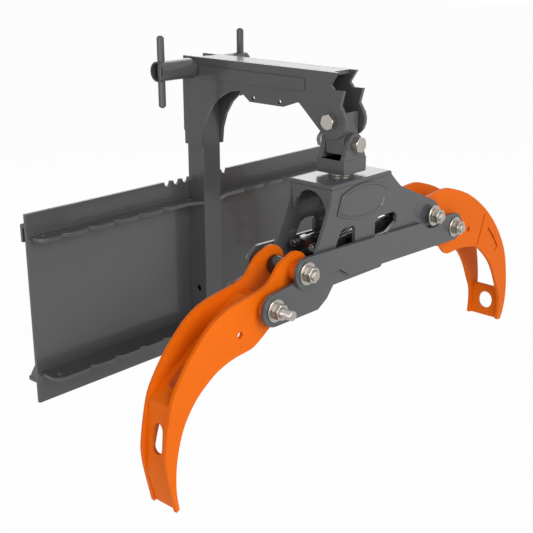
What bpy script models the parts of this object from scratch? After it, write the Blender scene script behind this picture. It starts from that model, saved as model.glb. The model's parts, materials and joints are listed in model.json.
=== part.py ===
"""Log grapple for a skid-steer quick-attach plate.

Two curved tongs hang from a swivelling head. A pair of straight link bars
joins them crosswise, so that one cylinder shuts both. The head hangs from a
cross link under a boom, and the boom and its mast stand on the quick-attach
plate.

Sizes are in metres, +Z up. The pieces are laid out from the front face and
the lower edge of the plate, with X = 0 in its middle and the boom reaching
toward -Y. The whole part then hangs on one empty that puts the origin on the
lock ledge, half way between the two slots that a loader's lock pins enter.
"""
import math

import bmesh
import bpy
from mathutils import Matrix, Vector

# Driving dimensions, in metres

# Clearance between pieces that touch, and the overrun of every cut
GAP = 0.0003
OVERRUN = 0.002
WELD_LAP = 0.001

# Quick-attach plate
PLATE_WIDTH = 1.166
PLATE_HEIGHT = 0.514
PLATE_THICK = 0.010
NOTCH_WIDTH = 0.023
NOTCH_DEPTH = 0.0135
NOTCH_PITCH = 0.034
NOTCH_COUNT = 3
NOTCH_INSET = 0.044

# Hook lip and lock ledge on the loader's side
LIP_DEPTH = 0.045
LIP_DROP = 0.062
LIP_THICK = 0.010
LIP_WIDTH = 1.130
LEDGE_DEPTH = 0.060
LEDGE_RISE = 0.052
LEDGE_THICK = 0.012
SLOT_WIDTH = 0.070
SLOT_DEPTH = 0.026
SLOT_SPACING = 0.880
GUSSET_THICK = 0.010
GUSSET_WIDTH = 0.055

# Ribs on the plate's front
RIB_THICK = 0.010
UPPER_RIB_Z = 0.455
LOWER_RIB_Z = 0.086
UPPER_RIB_DEPTH = 0.046
LOWER_RIB_DEPTH = 0.072
RIB_END_INSET = 0.010
RIB_END_RADIUS = 0.026
RIB_HOLE_RADIUS = 0.008
TOOTH_PITCH = 0.085
TOOTH_HEIGHT = 0.012
TOOTH_RUN_SHARE = 0.78
RIB_GUSSET_WIDTH = 0.045

# Mast
MAST_SIZE = 0.064
MAST_WALL = 0.006
MAST_HOLE_RADIUS = 0.009
MAST_HOLE_Z = 0.186

# Boom
BOOM_TOP = 0.857
BOOM_REACH = 0.543
BOOM_PLATE = 0.010
BOOM_LEG_BOTTOM = 0.613
BOOM_LEG_DEPTH = 0.068
BOOM_CROWN_Y = 0.216
BOOM_TAB_BOTTOM = 0.756
BOOM_TAB_START = 0.252
BOOM_TAB_END = 0.368
TAB_HOLE_RADIUS = 0.006
TOOTH_TIP_REACH = 0.564
TOOTH_TIP_DROP = 0.042
TOP_PLATE_THICK = 0.010
TOP_PLATE_END = 0.020
BACK_PLATE_WIDTH = 0.076
BACK_PLATE_HEIGHT = 0.150
BACK_PLATE_THICK = 0.008
BACK_PLATE_HOLE = 0.007

# Hose pipe and its two upright bars
PIPE_LENGTH = 0.330
PIPE_RADIUS = 0.027
PIPE_WALL = 0.004
PIPE_Y = 0.032
PIPE_Z = 0.826
BAR_RADIUS = 0.010
BAR_LENGTH = 0.190
BAR_RISE = 0.093
BAR_SPACING = 0.300

# Bolts, nuts and washers of every pivot
BOLT_RADIUS = 0.012
BOLT_HEAD = 0.015
NUT_FLATS = 0.036
NUT_HEIGHT = 0.019
WASHER_RADIUS = 0.028
WASHER_THICK = 0.004
BOLT_STUB = 0.014
LONG_STUB = 0.032

# Hanger bolt through the boom, fork bolt below it
HANGER_Y = 0.528
HANGER_DROP = 0.119
LOBE_RADIUS = 0.045
LOBE_ROOT_SHARES = (2.4, 0.8)
LOBE_CROWN_SHARES = (0.58, 0.91)
FORK_BOLT_DROP = 0.056
LINK_TUBE_SIZE = 0.056
LINK_TUBE_WALL = 0.007
LINK_TUBE_RISE = 0.021
LINK_TUBE_TAIL = 0.026
FORK_SIZE = 0.088
FORK_DROP = 0.073
FORK_BLOCK_HEIGHT = 0.036
FORK_EAR_THICK = 0.013
FORK_EAR_RADIUS = 0.027
FORK_EAR_INSET = 0.001
FORK_EAR_SINK = 0.008
NECK_RADIUS = 0.032
NECK_HEIGHT = 0.008
NECK_PIN_RADIUS = 0.020
KEEPER_THICK = 0.010
KEEPER_RADIUS = 0.034

# Head
HEAD_Y = 0.528
HEAD_DEPTH = 0.140
HEAD_PLATE = 0.010
HEAD_WIDTH = 0.240
HEAD_HEIGHT = 0.251
HEAD_ARM_RADIUS = 0.041
HEAD_FLANGE_DROP = 0.074
WINDOW_DROP = 0.112
WINDOW_HEIGHT = 0.049
HEAD_SHOULDER_SHARES = ((1.16, 0.7), (1.36, 1.2))
HEAD_RIGHT_FOOT_SHARES = ((0.9, 0.5), (0.7, 0.0))
HEAD_LEFT_FOOT_SHARES = ((-0.9, 0.0), (-1.1, -0.7))
HEAD_HEEL_SHARE = 1.38
HEAD_WAIST_SHARE = 0.6
HEAD_NECK_SHARES = ((-1.12, 1.75), (-1.03, 1.07))
LINK_RELIEF_SHARE = 1.35
PAD_WIDTH = 0.200
PAD_HEIGHT = 0.088
PAD_THICK = 0.004
PAD_DROP = 0.056
PAD_BOW_SHARE = 0.55

# Tong pivots, as their X and their drop below the head's top
LEFT_HINGE_X = -0.320
LEFT_HINGE_DROP = 0.259
LEFT_LINK_X = -0.2219
LEFT_LINK_DROP = 0.1899
RIGHT_LINK_X = 0.4119
RIGHT_LINK_DROP = 0.2096
RIGHT_HINGE_X = 0.305
RIGHT_HINGE_DROP = 0.155

# Tongs
TONG_PLATE = 0.010
LEFT_TONG_DEPTH = 0.086
RIGHT_TONG_DEPTH = 0.112
TONG_REACH = 0.342
TONG_DROP = 0.413
TONG_WEB = 0.010
TONG_LUG_RADIUS = 0.046
TONG_HUB_RADIUS = 0.054
TONG_TUBE_RADIUS = 0.028
TONG_BOSS_RADIUS = 0.022
TONG_HOLE_RADIUS = 0.008
WEB_WINDOW_WIDTH = 0.032
WEB_WINDOW_LENGTH = 0.076
TOE_WINDOW_WIDTH = 0.048
TOE_WINDOW_LENGTH = 0.054
TAB_SLOT_WIDTH = 0.004
PIVOT_PLAY = 0.0005

# Shapes of the two tongs about their lower pivots, in shares of the reach and
# the drop: the side plates' outer and inner edges, the paths of the cross
# plates, the tab slots in the side plates and the small hole. A cross plate's
# window has its middle in shares of its own stretch of the path.
TONG_SHAPES = {
    "left_tong": {
        "lug_end": 120,
        "back": ((0.132, 0.232), (0.029, 0.145), (-0.073, 0.114), (-0.234, 0.094),
                 (-0.389, 0.068), (-0.520, 0.019), (-0.635, -0.061), (-0.749, -0.160),
                 (-0.865, -0.300), (-0.912, -0.412), (-0.953, -0.596), (-0.956, -0.690),
                 (-0.933, -0.806), (-0.880, -0.998)),
        "front": ((-0.851, -0.988), (-0.869, -0.893), (-0.872, -0.811), (-0.863, -0.712),
                  (-0.836, -0.610), (-0.798, -0.521), (-0.743, -0.443), (-0.667, -0.370),
                  (-0.585, -0.317), (-0.500, -0.274), (-0.398, -0.242), (-0.301, -0.225),
                  (-0.205, -0.218), (-0.134, -0.208), (-0.056, -0.174)),
        "web": ((-0.100, 0.080), (-0.895, -0.363), (-0.936, -0.780), (-0.868, -0.990)),
        "windows": ((0, 0.745), (1, 0.495)),
        "tab_slots": (),
        "hole": (-0.263, -0.103),
    },
    "right_tong": {
        "lug_end": 95,
        "back": ((0.023, 0.266), (-0.132, 0.225), (-0.360, 0.121), (-0.599, -0.048),
                 (-0.789, -0.247), (-0.921, -0.475), (-0.953, -0.668), (-0.947, -0.828),
                 (-0.904, -0.961), (-0.842, -1.039)),
        "front": ((-0.795, -1.027), (-0.822, -0.915), (-0.822, -0.823), (-0.792, -0.746),
                  (-0.725, -0.586), (-0.637, -0.460), (-0.471, -0.317), (-0.307, -0.262),
                  (-0.161, -0.232), (-0.009, -0.218), (0.047, -0.184), (0.099, -0.133),
                  (0.181, -0.099)),
        "web": ((-0.100, 0.080), (-0.600, -0.100), (-0.462, -0.303)),
        "windows": (),
        "toe": ((-0.910, -0.799), (-0.846, -1.034)),
        "tab_slots": (((-0.605, -0.100), (-0.470, -0.298)),
                      ((-0.653, -0.217), (-0.740, -0.316), (-0.804, -0.414), (-0.755, -0.436))),
        "hole": (-0.333, -0.133),
    },
}

# Link bars
LINK_BAR_THICK = 0.010
LINK_BAR_PLAY = 0.002
LINK_BAR_HALF = 0.039
LINK_NOTCH_DEPTH = 0.022
LINK_NOTCH_SHARES = (0.74, 0.80, 0.86, 0.93)

# Cylinder
CYLINDER_BORE_RADIUS = 0.031
CYLINDER_WALL = 0.005
CYLINDER_CAP = 0.082
CYLINDER_CAP_LENGTH = 0.036
CYLINDER_START = 0.086
CYLINDER_LENGTH = 0.330
CYLINDER_CORNER = 0.010
ROD_RADIUS = 0.016
EYE_RADIUS = 0.025
EYE_WIDTH = 0.050
TIE_ROD_RADIUS = 0.005
TIE_ROD_SPACING = 0.060
TIE_NUT_LENGTH = 0.010
PISTON_LENGTH = 0.030
EYE_NECK_RADIUS = 0.018
TIE_NUT_SHARE = 1.8

# Smoothness of the round pieces
ROUND_STEPS = 24
SMALL_STEPS = 16
TIE_STEPS = 12
BAR_CUT_STEPS = 18
ARC_STEPS = 6
CURVE_STEPS = 3
SMOOTH_ANGLE = math.radians(40.0)

# Name of the empty that carries the whole part
ORIGIN_NAME = "grapple_frame"

# Places that follow from the sizes above
HANGER_Z = BOOM_TOP - HANGER_DROP
LINK_TUBE_TOP = HANGER_Z + LINK_TUBE_RISE
FORK_BOLT_Z = HANGER_Z - FORK_BOLT_DROP
LINK_TUBE_BOTTOM = FORK_BOLT_Z - LINK_TUBE_TAIL
FORK_BOTTOM = FORK_BOLT_Z - FORK_DROP
HEAD_TOP = FORK_BOTTOM - NECK_HEIGHT
HEAD_BOTTOM = HEAD_TOP - HEAD_HEIGHT
WINDOW_TOP = HEAD_TOP - WINDOW_DROP
WINDOW_BOTTOM = WINDOW_TOP - WINDOW_HEIGHT
PAD_Z = HEAD_TOP - PAD_DROP
LEFT_HINGE = (LEFT_HINGE_X, HEAD_TOP - LEFT_HINGE_DROP)
LEFT_LINK = (LEFT_LINK_X, HEAD_TOP - LEFT_LINK_DROP)
RIGHT_LINK = (RIGHT_LINK_X, HEAD_TOP - RIGHT_LINK_DROP)
RIGHT_HINGE = (RIGHT_HINGE_X, HEAD_TOP - RIGHT_HINGE_DROP)
HEAD_FRONT = -HEAD_Y - HEAD_DEPTH / 2
HEAD_REAR = -HEAD_Y + HEAD_DEPTH / 2
BAR_FRONT_LOW = HEAD_FRONT - LINK_BAR_PLAY - LINK_BAR_THICK
BAR_FRONT_HIGH = HEAD_FRONT - LINK_BAR_PLAY
BAR_REAR_LOW = HEAD_REAR + LINK_BAR_PLAY
BAR_REAR_HIGH = HEAD_REAR + LINK_BAR_PLAY + LINK_BAR_THICK
BAR_STACK = LINK_BAR_PLAY + LINK_BAR_THICK + GAP

PAINTS = {
    "grey_paint": ((0.085, 0.088, 0.092), 0.34, 0.0),
    "orange_paint": ((0.80, 0.155, 0.012), 0.38, 0.0),
    "black_paint": ((0.012, 0.012, 0.013), 0.36, 0.0),
    "zinc": ((0.62, 0.58, 0.52), 0.36, 1.0),
    "chrome": ((0.80, 0.80, 0.80), 0.10, 1.0),
}


def clear_objects():
    """Remove every object, so that the script starts from nothing."""
    for item in list(bpy.data.objects):
        bpy.data.objects.remove(item)


def make_material(name, paint):
    """Make one piece's own Principled material from a finish."""
    colour, roughness, metallic = PAINTS[paint]
    material = bpy.data.materials.new(name)
    material.use_nodes = True
    shader = material.node_tree.nodes["Principled BSDF"]
    shader.inputs["Base Color"].default_value = (*colour, 1.0)
    shader.inputs["Roughness"].default_value = roughness
    shader.inputs["Metallic"].default_value = metallic
    return material


def make_pivot(name, place, parent=None):
    """An empty on a joint's axis, which the moving pieces are parented to."""
    empty = bpy.data.objects.new(name, None)
    empty.location = place
    empty.parent = parent
    bpy.context.collection.objects.link(empty)
    return empty


def finish(bm, name, paint, pivot=None):
    """Turn a bmesh in layout coordinates into a named object on its pivot."""
    bmesh.ops.recalc_face_normals(bm, faces=bm.faces)
    origin = Vector(pivot.location) if pivot else Vector((0, 0, 0))
    bmesh.ops.translate(bm, verts=bm.verts, vec=-origin)
    mesh = bpy.data.meshes.new(name)
    bm.to_mesh(mesh)
    bm.free()
    mesh.shade_smooth()
    mesh.set_sharp_from_angle(angle=SMOOTH_ANGLE)
    mesh.materials.append(make_material(name, paint))
    item = bpy.data.objects.new(name, mesh)
    bpy.context.collection.objects.link(item)
    item.parent = pivot or bpy.data.objects[ORIGIN_NAME]
    return item


def plane_map(plane):
    """Return the function that maps outline points (u, v) and depth w."""
    if plane == "XZ":
        return lambda u, v, w: (u, w, v)
    if plane == "YZ":
        return lambda u, v, w: (w, u, v)
    return lambda u, v, w: (u, v, w)


def circle(centre, radius, steps=SMALL_STEPS):
    """Points of a full circle."""
    turn = 2 * math.pi / steps
    return [(centre[0] + radius * math.cos(turn * i),
             centre[1] + radius * math.sin(turn * i)) for i in range(steps)]


def arc(centre, radius, start, end, steps=ARC_STEPS):
    """Points of an arc between two angles in degrees."""
    points = []
    for i in range(steps + 1):
        angle = math.radians(start + (end - start) * i / steps)
        points.append((centre[0] + radius * math.cos(angle),
                       centre[1] + radius * math.sin(angle)))
    return points


def box_outline(u_low, u_high, v_low, v_high):
    """Points of an upright rectangle."""
    return [(u_low, v_low), (u_high, v_low), (u_high, v_high), (u_low, v_high)]


def slot(centre, width, length, angle=0.0):
    """A round-ended slot, with its long way at an angle in degrees."""
    half = (length - width) / 2
    way = (math.cos(math.radians(angle)), math.sin(math.radians(angle)))
    ends = []
    for side in (1, -1):
        middle = (centre[0] + side * half * way[0], centre[1] + side * half * way[1])
        turn = angle - 90 if side > 0 else angle + 90
        ends += arc(middle, width / 2, turn, turn + 180)
    return ends


def curve_through(points, steps=CURVE_STEPS):
    """A smooth open curve through hand-set points, as a Catmull-Rom spline."""
    padded = [points[0]] + list(points) + [points[-1]]
    smooth = []
    for i in range(1, len(padded) - 2):
        before, start, end, after = padded[i - 1:i + 3]
        for k in range(steps):
            t = k / steps
            smooth.append(tuple(
                (2 * start[n] + (end[n] - before[n]) * t
                 + (2 * before[n] - 5 * start[n] + 4 * end[n] - after[n]) * t ** 2
                 + (3 * start[n] - before[n] - 3 * end[n] + after[n]) * t ** 3) / 2
                for n in (0, 1)))
    smooth.append(tuple(points[-1]))
    return smooth


def add_ring(bm, points, place, depth):
    """Add one closed ring of edges and return them."""
    verts = [bm.verts.new(place(u, v, depth)) for u, v in points]
    return [bm.edges.new((verts[i - 1], verts[i])) for i in range(len(verts))]


def add_slab(bm, outline, holes, low, high, plane):
    """Add an outline with holes, extruded from one depth to another."""
    place = plane_map(plane)
    edges = add_ring(bm, outline, place, low)
    for hole in holes:
        edges += add_ring(bm, hole, place, low)
    filled = bmesh.ops.triangle_fill(bm, use_beauty=True, edges=edges)
    faces = [item for item in filled["geom"] if isinstance(item, bmesh.types.BMFace)]
    raised = bmesh.ops.extrude_face_region(bm, geom=faces, use_keep_orig=True)
    moved = [item for item in raised["geom"] if isinstance(item, bmesh.types.BMVert)]
    way = Vector(place(0, 0, high)) - Vector(place(0, 0, low))
    bmesh.ops.translate(bm, verts=moved, vec=way)


def slab(name, outline, holes, low, high, plane, paint, pivot=None):
    """One flat plate as its own object."""
    bm = bmesh.new()
    add_slab(bm, outline, holes, low, high, plane)
    return finish(bm, name, paint, pivot)


AXES = {"X": Vector((1, 0, 0)), "Y": Vector((0, 1, 0)), "Z": Vector((0, 0, 1))}


def add_turned(bm, profile, centre, way, steps=ROUND_STEPS):
    """Add a body turned about an axis from (radius, length) pairs."""
    axis = AXES[way] if isinstance(way, str) else way.normalized()
    side = axis.orthogonal().normalized()
    start = Vector(centre)
    verts = [bm.verts.new(start + side * radius + axis * along)
             for radius, along in profile]
    edges = [bm.edges.new((verts[i], verts[i + 1])) for i in range(len(verts) - 1)]
    if profile[0][0] > 0:
        edges.append(bm.edges.new((verts[-1], verts[0])))
    bmesh.ops.spin(bm, geom=verts + edges, cent=start, axis=axis,
                   angle=2 * math.pi, steps=steps, use_merge=True)
    bmesh.ops.remove_doubles(bm, verts=bm.verts, dist=GAP / 100)


def tube_profile(outer, inner, low, high):
    """Profile of a plain tube."""
    return [(inner, low), (outer, low), (outer, high), (inner, high)]


def rod_profile(radius, low, high, bevel=0.0):
    """Profile of a plain bar with its ends bevelled."""
    if bevel > 0:
        return [(0, low), (radius - bevel, low), (radius, low + bevel),
                (radius, high - bevel), (radius - bevel, high), (0, high)]
    return [(0, low), (radius, low), (radius, high), (0, high)]


def turned(name, profiles, centre, way, paint, pivot=None, steps=ROUND_STEPS):
    """One or more turned bodies on one axis as one object."""
    merged = bmesh.new()
    for profile in profiles:
        add_turned(merged, profile, centre, way, steps)
    return finish(merged, name, paint, pivot)


def fastener_rings(bm, centre, way, levels):
    """Add rings of points along an axis, each bridged to the next one."""
    axis = AXES[way]
    side = axis.orthogonal().normalized()
    across = axis.cross(side)
    rings = []
    for outline, along in levels:
        start = Vector(centre) + axis * along
        rings.append([bm.verts.new(start + side * u + across * v) for u, v in outline])
    for first, second in zip(rings, rings[1:]):
        for i in range(ROUND_STEPS):
            bm.faces.new((first[i - 1], first[i], second[i], second[i - 1]))
    return rings


def hex_levels(seat, sign, height):
    """The washer and the bevelled hexagon that stand on a seat."""
    bevel = BOLT_RADIUS / 8
    face = seat + sign * WASHER_THICK
    washer = circle((0, 0), WASHER_RADIUS, ROUND_STEPS)
    hexes = hex_ring(NUT_FLATS / math.sqrt(3), NUT_FLATS, ROUND_STEPS)
    crown = circle((0, 0), NUT_FLATS / 2, ROUND_STEPS)
    return [(washer, seat), (washer, face), (hexes, face),
            (hexes, face + sign * (height - bevel)), (crown, face + sign * height)]


def bolt(name, centre, way, tip, seat, paint, pivot=None):
    """A hex bolt from its tip to its head, with the washer under the head."""
    sign = 1 if seat > tip else -1
    bevel = BOLT_RADIUS / 8
    shank = circle((0, 0), BOLT_RADIUS, ROUND_STEPS)
    end = circle((0, 0), BOLT_RADIUS - bevel, ROUND_STEPS)
    levels = [(end, tip), (shank, tip + sign * bevel), (shank, seat)]
    levels += hex_levels(seat, sign, BOLT_HEAD)
    bm = bmesh.new()
    rings = fastener_rings(bm, centre, way, levels)
    bm.faces.new(rings[0])
    bm.faces.new(rings[-1])
    return finish(bm, name, paint, pivot)


def nut(name, centre, way, seat, sign, paint, pivot=None):
    """A hex nut on its washer, with a bore that clears the bolt."""
    bore = circle((0, 0), BOLT_RADIUS + GAP, ROUND_STEPS)
    levels = [(bore, seat)] + hex_levels(seat, sign, NUT_HEIGHT)
    levels.append((bore, levels[-1][1]))
    bm = bmesh.new()
    rings = fastener_rings(bm, centre, way, levels)
    for i in range(ROUND_STEPS):
        bm.faces.new((rings[-1][i - 1], rings[-1][i], rings[0][i], rings[0][i - 1]))
    return finish(bm, name, paint, pivot)


def hex_ring(corner, flats, steps):
    """Points on a hexagon's edge, at even angles, so that it bridges a circle."""
    points = []
    for i in range(steps):
        angle = 2 * math.pi * i / steps
        sixth = angle % (math.pi / 3) - math.pi / 6
        radius = min(corner, flats / 2 / math.cos(sixth))
        points.append((radius * math.cos(angle), radius * math.sin(angle)))
    return points


def plate_outline():
    """The quick-attach plate, with its rounded notches beside the mast."""
    half = PLATE_WIDTH / 2
    points = [(half, 0), (half, PLATE_HEIGHT)]
    centres = []
    for side in (1, -1):
        row = [side * (NOTCH_INSET + NOTCH_PITCH * i) for i in range(NOTCH_COUNT)]
        centres += sorted(row, reverse=True)
    radius = NOTCH_WIDTH / 2
    for x in centres:
        bottom = PLATE_HEIGHT - NOTCH_DEPTH + radius
        points.append((x + radius, PLATE_HEIGHT))
        points += arc((x, bottom), radius, 0, -180)
        points.append((x - radius, PLATE_HEIGHT))
    points += [(-half, PLATE_HEIGHT), (-half, 0)]
    return points


def build_plate():
    """The plate and the loader's hooks behind it."""
    slab("mounting_plate", plate_outline(), [], 0, PLATE_THICK, "XZ", "grey_paint")
    back = PLATE_THICK + GAP
    top = PLATE_HEIGHT - NOTCH_DEPTH - LIP_THICK
    lip = [(back, top), (back + LIP_DEPTH, top - LIP_DEPTH / 3),
           (back + LIP_DEPTH, top - LIP_DROP),
           (back + LIP_DEPTH - LIP_THICK, top - LIP_DROP),
           (back + LIP_DEPTH - LIP_THICK, top - LIP_DEPTH / 3 - LIP_THICK),
           (back, top - LIP_THICK)]
    slab("top_hook_lip", lip, [], -LIP_WIDTH / 2, LIP_WIDTH / 2, "YZ", "grey_paint")
    ledge = box_outline(-LIP_WIDTH / 2, LIP_WIDTH / 2, back, back + LEDGE_DEPTH)
    slots = [slot((side * SLOT_SPACING / 2, back + LEDGE_DEPTH / 2), SLOT_DEPTH, SLOT_WIDTH)
             for side in (1, -1)]
    slab("lock_ledge", ledge, slots, LEDGE_RISE - LEDGE_THICK, LEDGE_RISE, "XY",
         "grey_paint")
    low = LEDGE_RISE + GAP
    high = top - LIP_THICK - LIP_DEPTH / 3 - GAP
    for side_name, side in (("left", -1), ("right", 1)):
        edge = side * (LIP_WIDTH / 2 - GUSSET_THICK / 2)
        outline = [(back, low), (back + GUSSET_WIDTH, low),
                   (back + GUSSET_WIDTH / 3, low + GUSSET_WIDTH),
                   (back + GUSSET_WIDTH / 3, high - GUSSET_WIDTH / 3), (back, high)]
        slab(f"side_gusset_{side_name}", outline, [], edge - GUSSET_THICK / 2,
             edge + GUSSET_THICK / 2, "YZ", "grey_paint")


def rib_outline(depth, inner, outer, gusset):
    """One rib from the mast outward, as (distance from the middle, Y)."""
    points = [(inner, -GAP)]
    if gusset:
        points += [(inner, -MAST_SIZE), (inner + RIB_GUSSET_WIDTH, -depth)]
    else:
        points += [(inner, -depth)]
    place = points[-1][0]
    while place + TOOTH_PITCH + TOOTH_HEIGHT < outer - RIB_END_RADIUS:
        points.append((place + TOOTH_PITCH * TOOTH_RUN_SHARE, -depth))
        points.append((place + TOOTH_PITCH, -depth + TOOTH_HEIGHT))
        place += TOOTH_PITCH
        points.append((place + TOOTH_HEIGHT, -depth))
    centre = (outer - RIB_END_RADIUS, -depth + RIB_END_RADIUS)
    points += arc(centre, RIB_END_RADIUS, -90, 0)
    points.append((outer, -GAP))
    return points


def build_ribs():
    """Two sawtoothed ribs each side of the mast, each with its holes."""
    inner = MAST_SIZE / 2 + GAP
    outer = PLATE_WIDTH / 2 - RIB_END_INSET
    for level, z, depth in (("upper", UPPER_RIB_Z, UPPER_RIB_DEPTH),
                            ("lower", LOWER_RIB_Z, LOWER_RIB_DEPTH)):
        for side_name, side in (("left", -1), ("right", 1)):
            outline = rib_outline(depth, inner, outer, level == "upper")
            outline = [(side * x, y) for x, y in outline]
            end = (side * (outer - RIB_END_RADIUS), -depth + RIB_END_RADIUS)
            holes = [circle(end, RIB_HOLE_RADIUS)]
            if level == "upper":
                holes.append(circle((side * (inner + RIB_GUSSET_WIDTH / 2), -depth / 2),
                                    RIB_HOLE_RADIUS))
            slab(f"{level}_rib_{side_name}", outline, holes, z - RIB_THICK, z, "XY",
                 "grey_paint")


def cut(target, cutter):
    """Cut one object by another, which stays as a hidden wire guide."""
    cutter.hide_render = True
    cutter.display_type = "WIRE"
    modifier = target.modifiers.new("cut", "BOOLEAN")
    modifier.operation = "DIFFERENCE"
    modifier.solver = "EXACT"
    modifier.object = cutter


def build_mast():
    """The mast, an open square tube on the plate's front."""
    half = MAST_SIZE / 2
    outline = box_outline(-half, half, -MAST_SIZE, -GAP)
    bore = box_outline(-half + MAST_WALL, half - MAST_WALL,
                       -MAST_SIZE + MAST_WALL, -GAP - MAST_WALL)
    top = PIPE_Z - PIPE_RADIUS - GAP
    mast = slab("mast_tube", outline, [bore], 0, top, "XY", "grey_paint")
    guide = bmesh.new()
    profile = rod_profile(MAST_HOLE_RADIUS, -half - OVERRUN, -half + MAST_WALL + OVERRUN)
    add_turned(guide, profile, (0, -half, MAST_HOLE_Z), "X", SMALL_STEPS)
    cut(mast, finish(guide, "mast_hole_cutter", "grey_paint"))


def boom_outline():
    """A boom side plate as (Y, Z): leg, arch, tab, lobe and toothed front."""
    leg = -BOOM_LEG_DEPTH
    crown = -BOOM_CROWN_Y
    tab = BOOM_TAB_BOTTOM
    under_top = BOOM_TOP - tab
    points = [(-GAP, BOOM_TOP), (-GAP, BOOM_LEG_BOTTOM), (leg, BOOM_LEG_BOTTOM)]
    rise = tab + under_top / 4 - BOOM_LEG_BOTTOM
    reach = crown - leg
    for i in range(1, ARC_STEPS + 1):
        turn = math.pi / 2 * i / ARC_STEPS
        points.append((leg + reach * (1 - math.cos(turn)),
                       BOOM_LEG_BOTTOM + rise * math.sin(turn)))
    points += [(-BOOM_TAB_START, tab), (-BOOM_TAB_END, tab)]
    root_u, root_v = LOBE_ROOT_SHARES
    points.append((-HANGER_Y + root_u * LOBE_RADIUS, HANGER_Z + root_v * LOBE_RADIUS))
    points += arc((-HANGER_Y, HANGER_Z), LOBE_RADIUS, -55, -205, ARC_STEPS + 2)
    tip = (-TOOTH_TIP_REACH, BOOM_TOP - TOOTH_TIP_DROP)
    crown_u, crown_v = LOBE_CROWN_SHARES
    points += [(-HANGER_Y - crown_u * LOBE_RADIUS, HANGER_Z + crown_v * LOBE_RADIUS), tip]
    notch = TOOTH_TIP_REACH - BOOM_REACH
    points += [(-BOOM_REACH + notch / 2, tip[1]), (-BOOM_REACH + notch, tip[1] + notch / 2),
               (-BOOM_REACH, BOOM_TOP)]
    return points


def build_boom():
    """The boom: two side plates, the top plate and the plate behind the mast."""
    outline = boom_outline()
    hole = circle((-HANGER_Y, HANGER_Z), BOLT_RADIUS + GAP, ROUND_STEPS)
    inset = TAB_HOLE_RADIUS * 2
    pipe = circle((-PIPE_Y, PIPE_Z), PIPE_RADIUS + GAP, ROUND_STEPS)
    tab_holes = [circle((y, BOOM_TAB_BOTTOM + inset), TAB_HOLE_RADIUS)
                 for y in (-BOOM_TAB_START - inset, -BOOM_TAB_END + inset)]
    side_low = MAST_SIZE / 2 + GAP
    side_high = side_low + BOOM_PLATE
    slab("boom_side_left", outline, [hole, pipe] + tab_holes, -side_high, -side_low,
         "YZ", "grey_paint")
    slab("boom_side_right", outline, [hole, pipe] + tab_holes, side_low, side_high,
         "YZ", "grey_paint")
    half = MAST_SIZE / 2
    rear = -PIPE_Y - PIPE_RADIUS - GAP
    slab("boom_top_plate", box_outline(-half, half, -BOOM_REACH + TOP_PLATE_END, rear), [],
         BOOM_TOP - TOP_PLATE_THICK, BOOM_TOP, "XY", "grey_paint")
    middle = PIPE_Z - PIPE_RADIUS - BACK_PLATE_HEIGHT / 2
    holes = [circle((0, middle + side * BACK_PLATE_HEIGHT / 4), BACK_PLATE_HOLE)
             for side in (1, -1)]
    slab("mast_back_plate",
         box_outline(-BACK_PLATE_WIDTH / 2, BACK_PLATE_WIDTH / 2,
                     middle - BACK_PLATE_HEIGHT / 2, middle + BACK_PLATE_HEIGHT / 2),
         holes, 0, BACK_PLATE_THICK, "XZ", "grey_paint")


def build_pipe():
    """The open cross pipe and the two round bars that stand through it."""
    half = PIPE_LENGTH / 2
    profile = tube_profile(PIPE_RADIUS, PIPE_RADIUS - PIPE_WALL, -half, half)
    pipe = turned("cross_pipe", [profile], (0, -PIPE_Y, PIPE_Z), "X", "grey_paint")
    low = PIPE_Z + BAR_RISE - BAR_LENGTH
    high = PIPE_Z + BAR_RISE
    for side_name, side in (("left", -1), ("right", 1)):
        centre = (side * BAR_SPACING / 2, -PIPE_Y, 0)
        dome = BAR_RADIUS / 2
        turned(f"hose_bar_{side_name}", [rod_profile(BAR_RADIUS, low, high, dome)], centre,
               "Z", "grey_paint", steps=SMALL_STEPS)
        guide = bmesh.new()
        add_turned(guide, rod_profile(BAR_RADIUS + GAP, low, high), centre, "Z", BAR_CUT_STEPS)
        cut(pipe, finish(guide, f"pipe_cutter_{side_name}", "grey_paint"))


def build_hanger(link_pivot):
    """The hanger bolt, its nut, and the cross link that swings on it."""
    centre = (0, -HANGER_Y, HANGER_Z)
    outer = MAST_SIZE / 2 + GAP + BOOM_PLATE + GAP
    tip = outer + WASHER_THICK + NUT_HEIGHT + BOLT_STUB / 2
    bolt("hanger_bolt", centre, "X", tip, -outer, "zinc")
    nut("hanger_nut", centre, "X", outer, 1, "zinc")
    half = LINK_TUBE_SIZE / 2
    inner = half - LINK_TUBE_WALL
    outline = box_outline(-half, half, -HANGER_Y - half, -HANGER_Y + half)
    bore = box_outline(-inner, inner, -HANGER_Y - inner, -HANGER_Y + inner)
    tube = slab("cross_link_tube", outline, [bore], LINK_TUBE_BOTTOM, LINK_TUBE_TOP, "XY",
                "grey_paint", link_pivot)
    for label, way, spot in (("hanger", "X", centre),
                             ("fork", "Y", (0, -HANGER_Y, FORK_BOLT_Z))):
        guide = bmesh.new()
        profile = rod_profile(BOLT_RADIUS + PIVOT_PLAY, -half - OVERRUN, half + OVERRUN)
        add_turned(guide, profile, spot, way)
        cut(tube, finish(guide, f"{label}_bore_cutter", "grey_paint", link_pivot))


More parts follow.
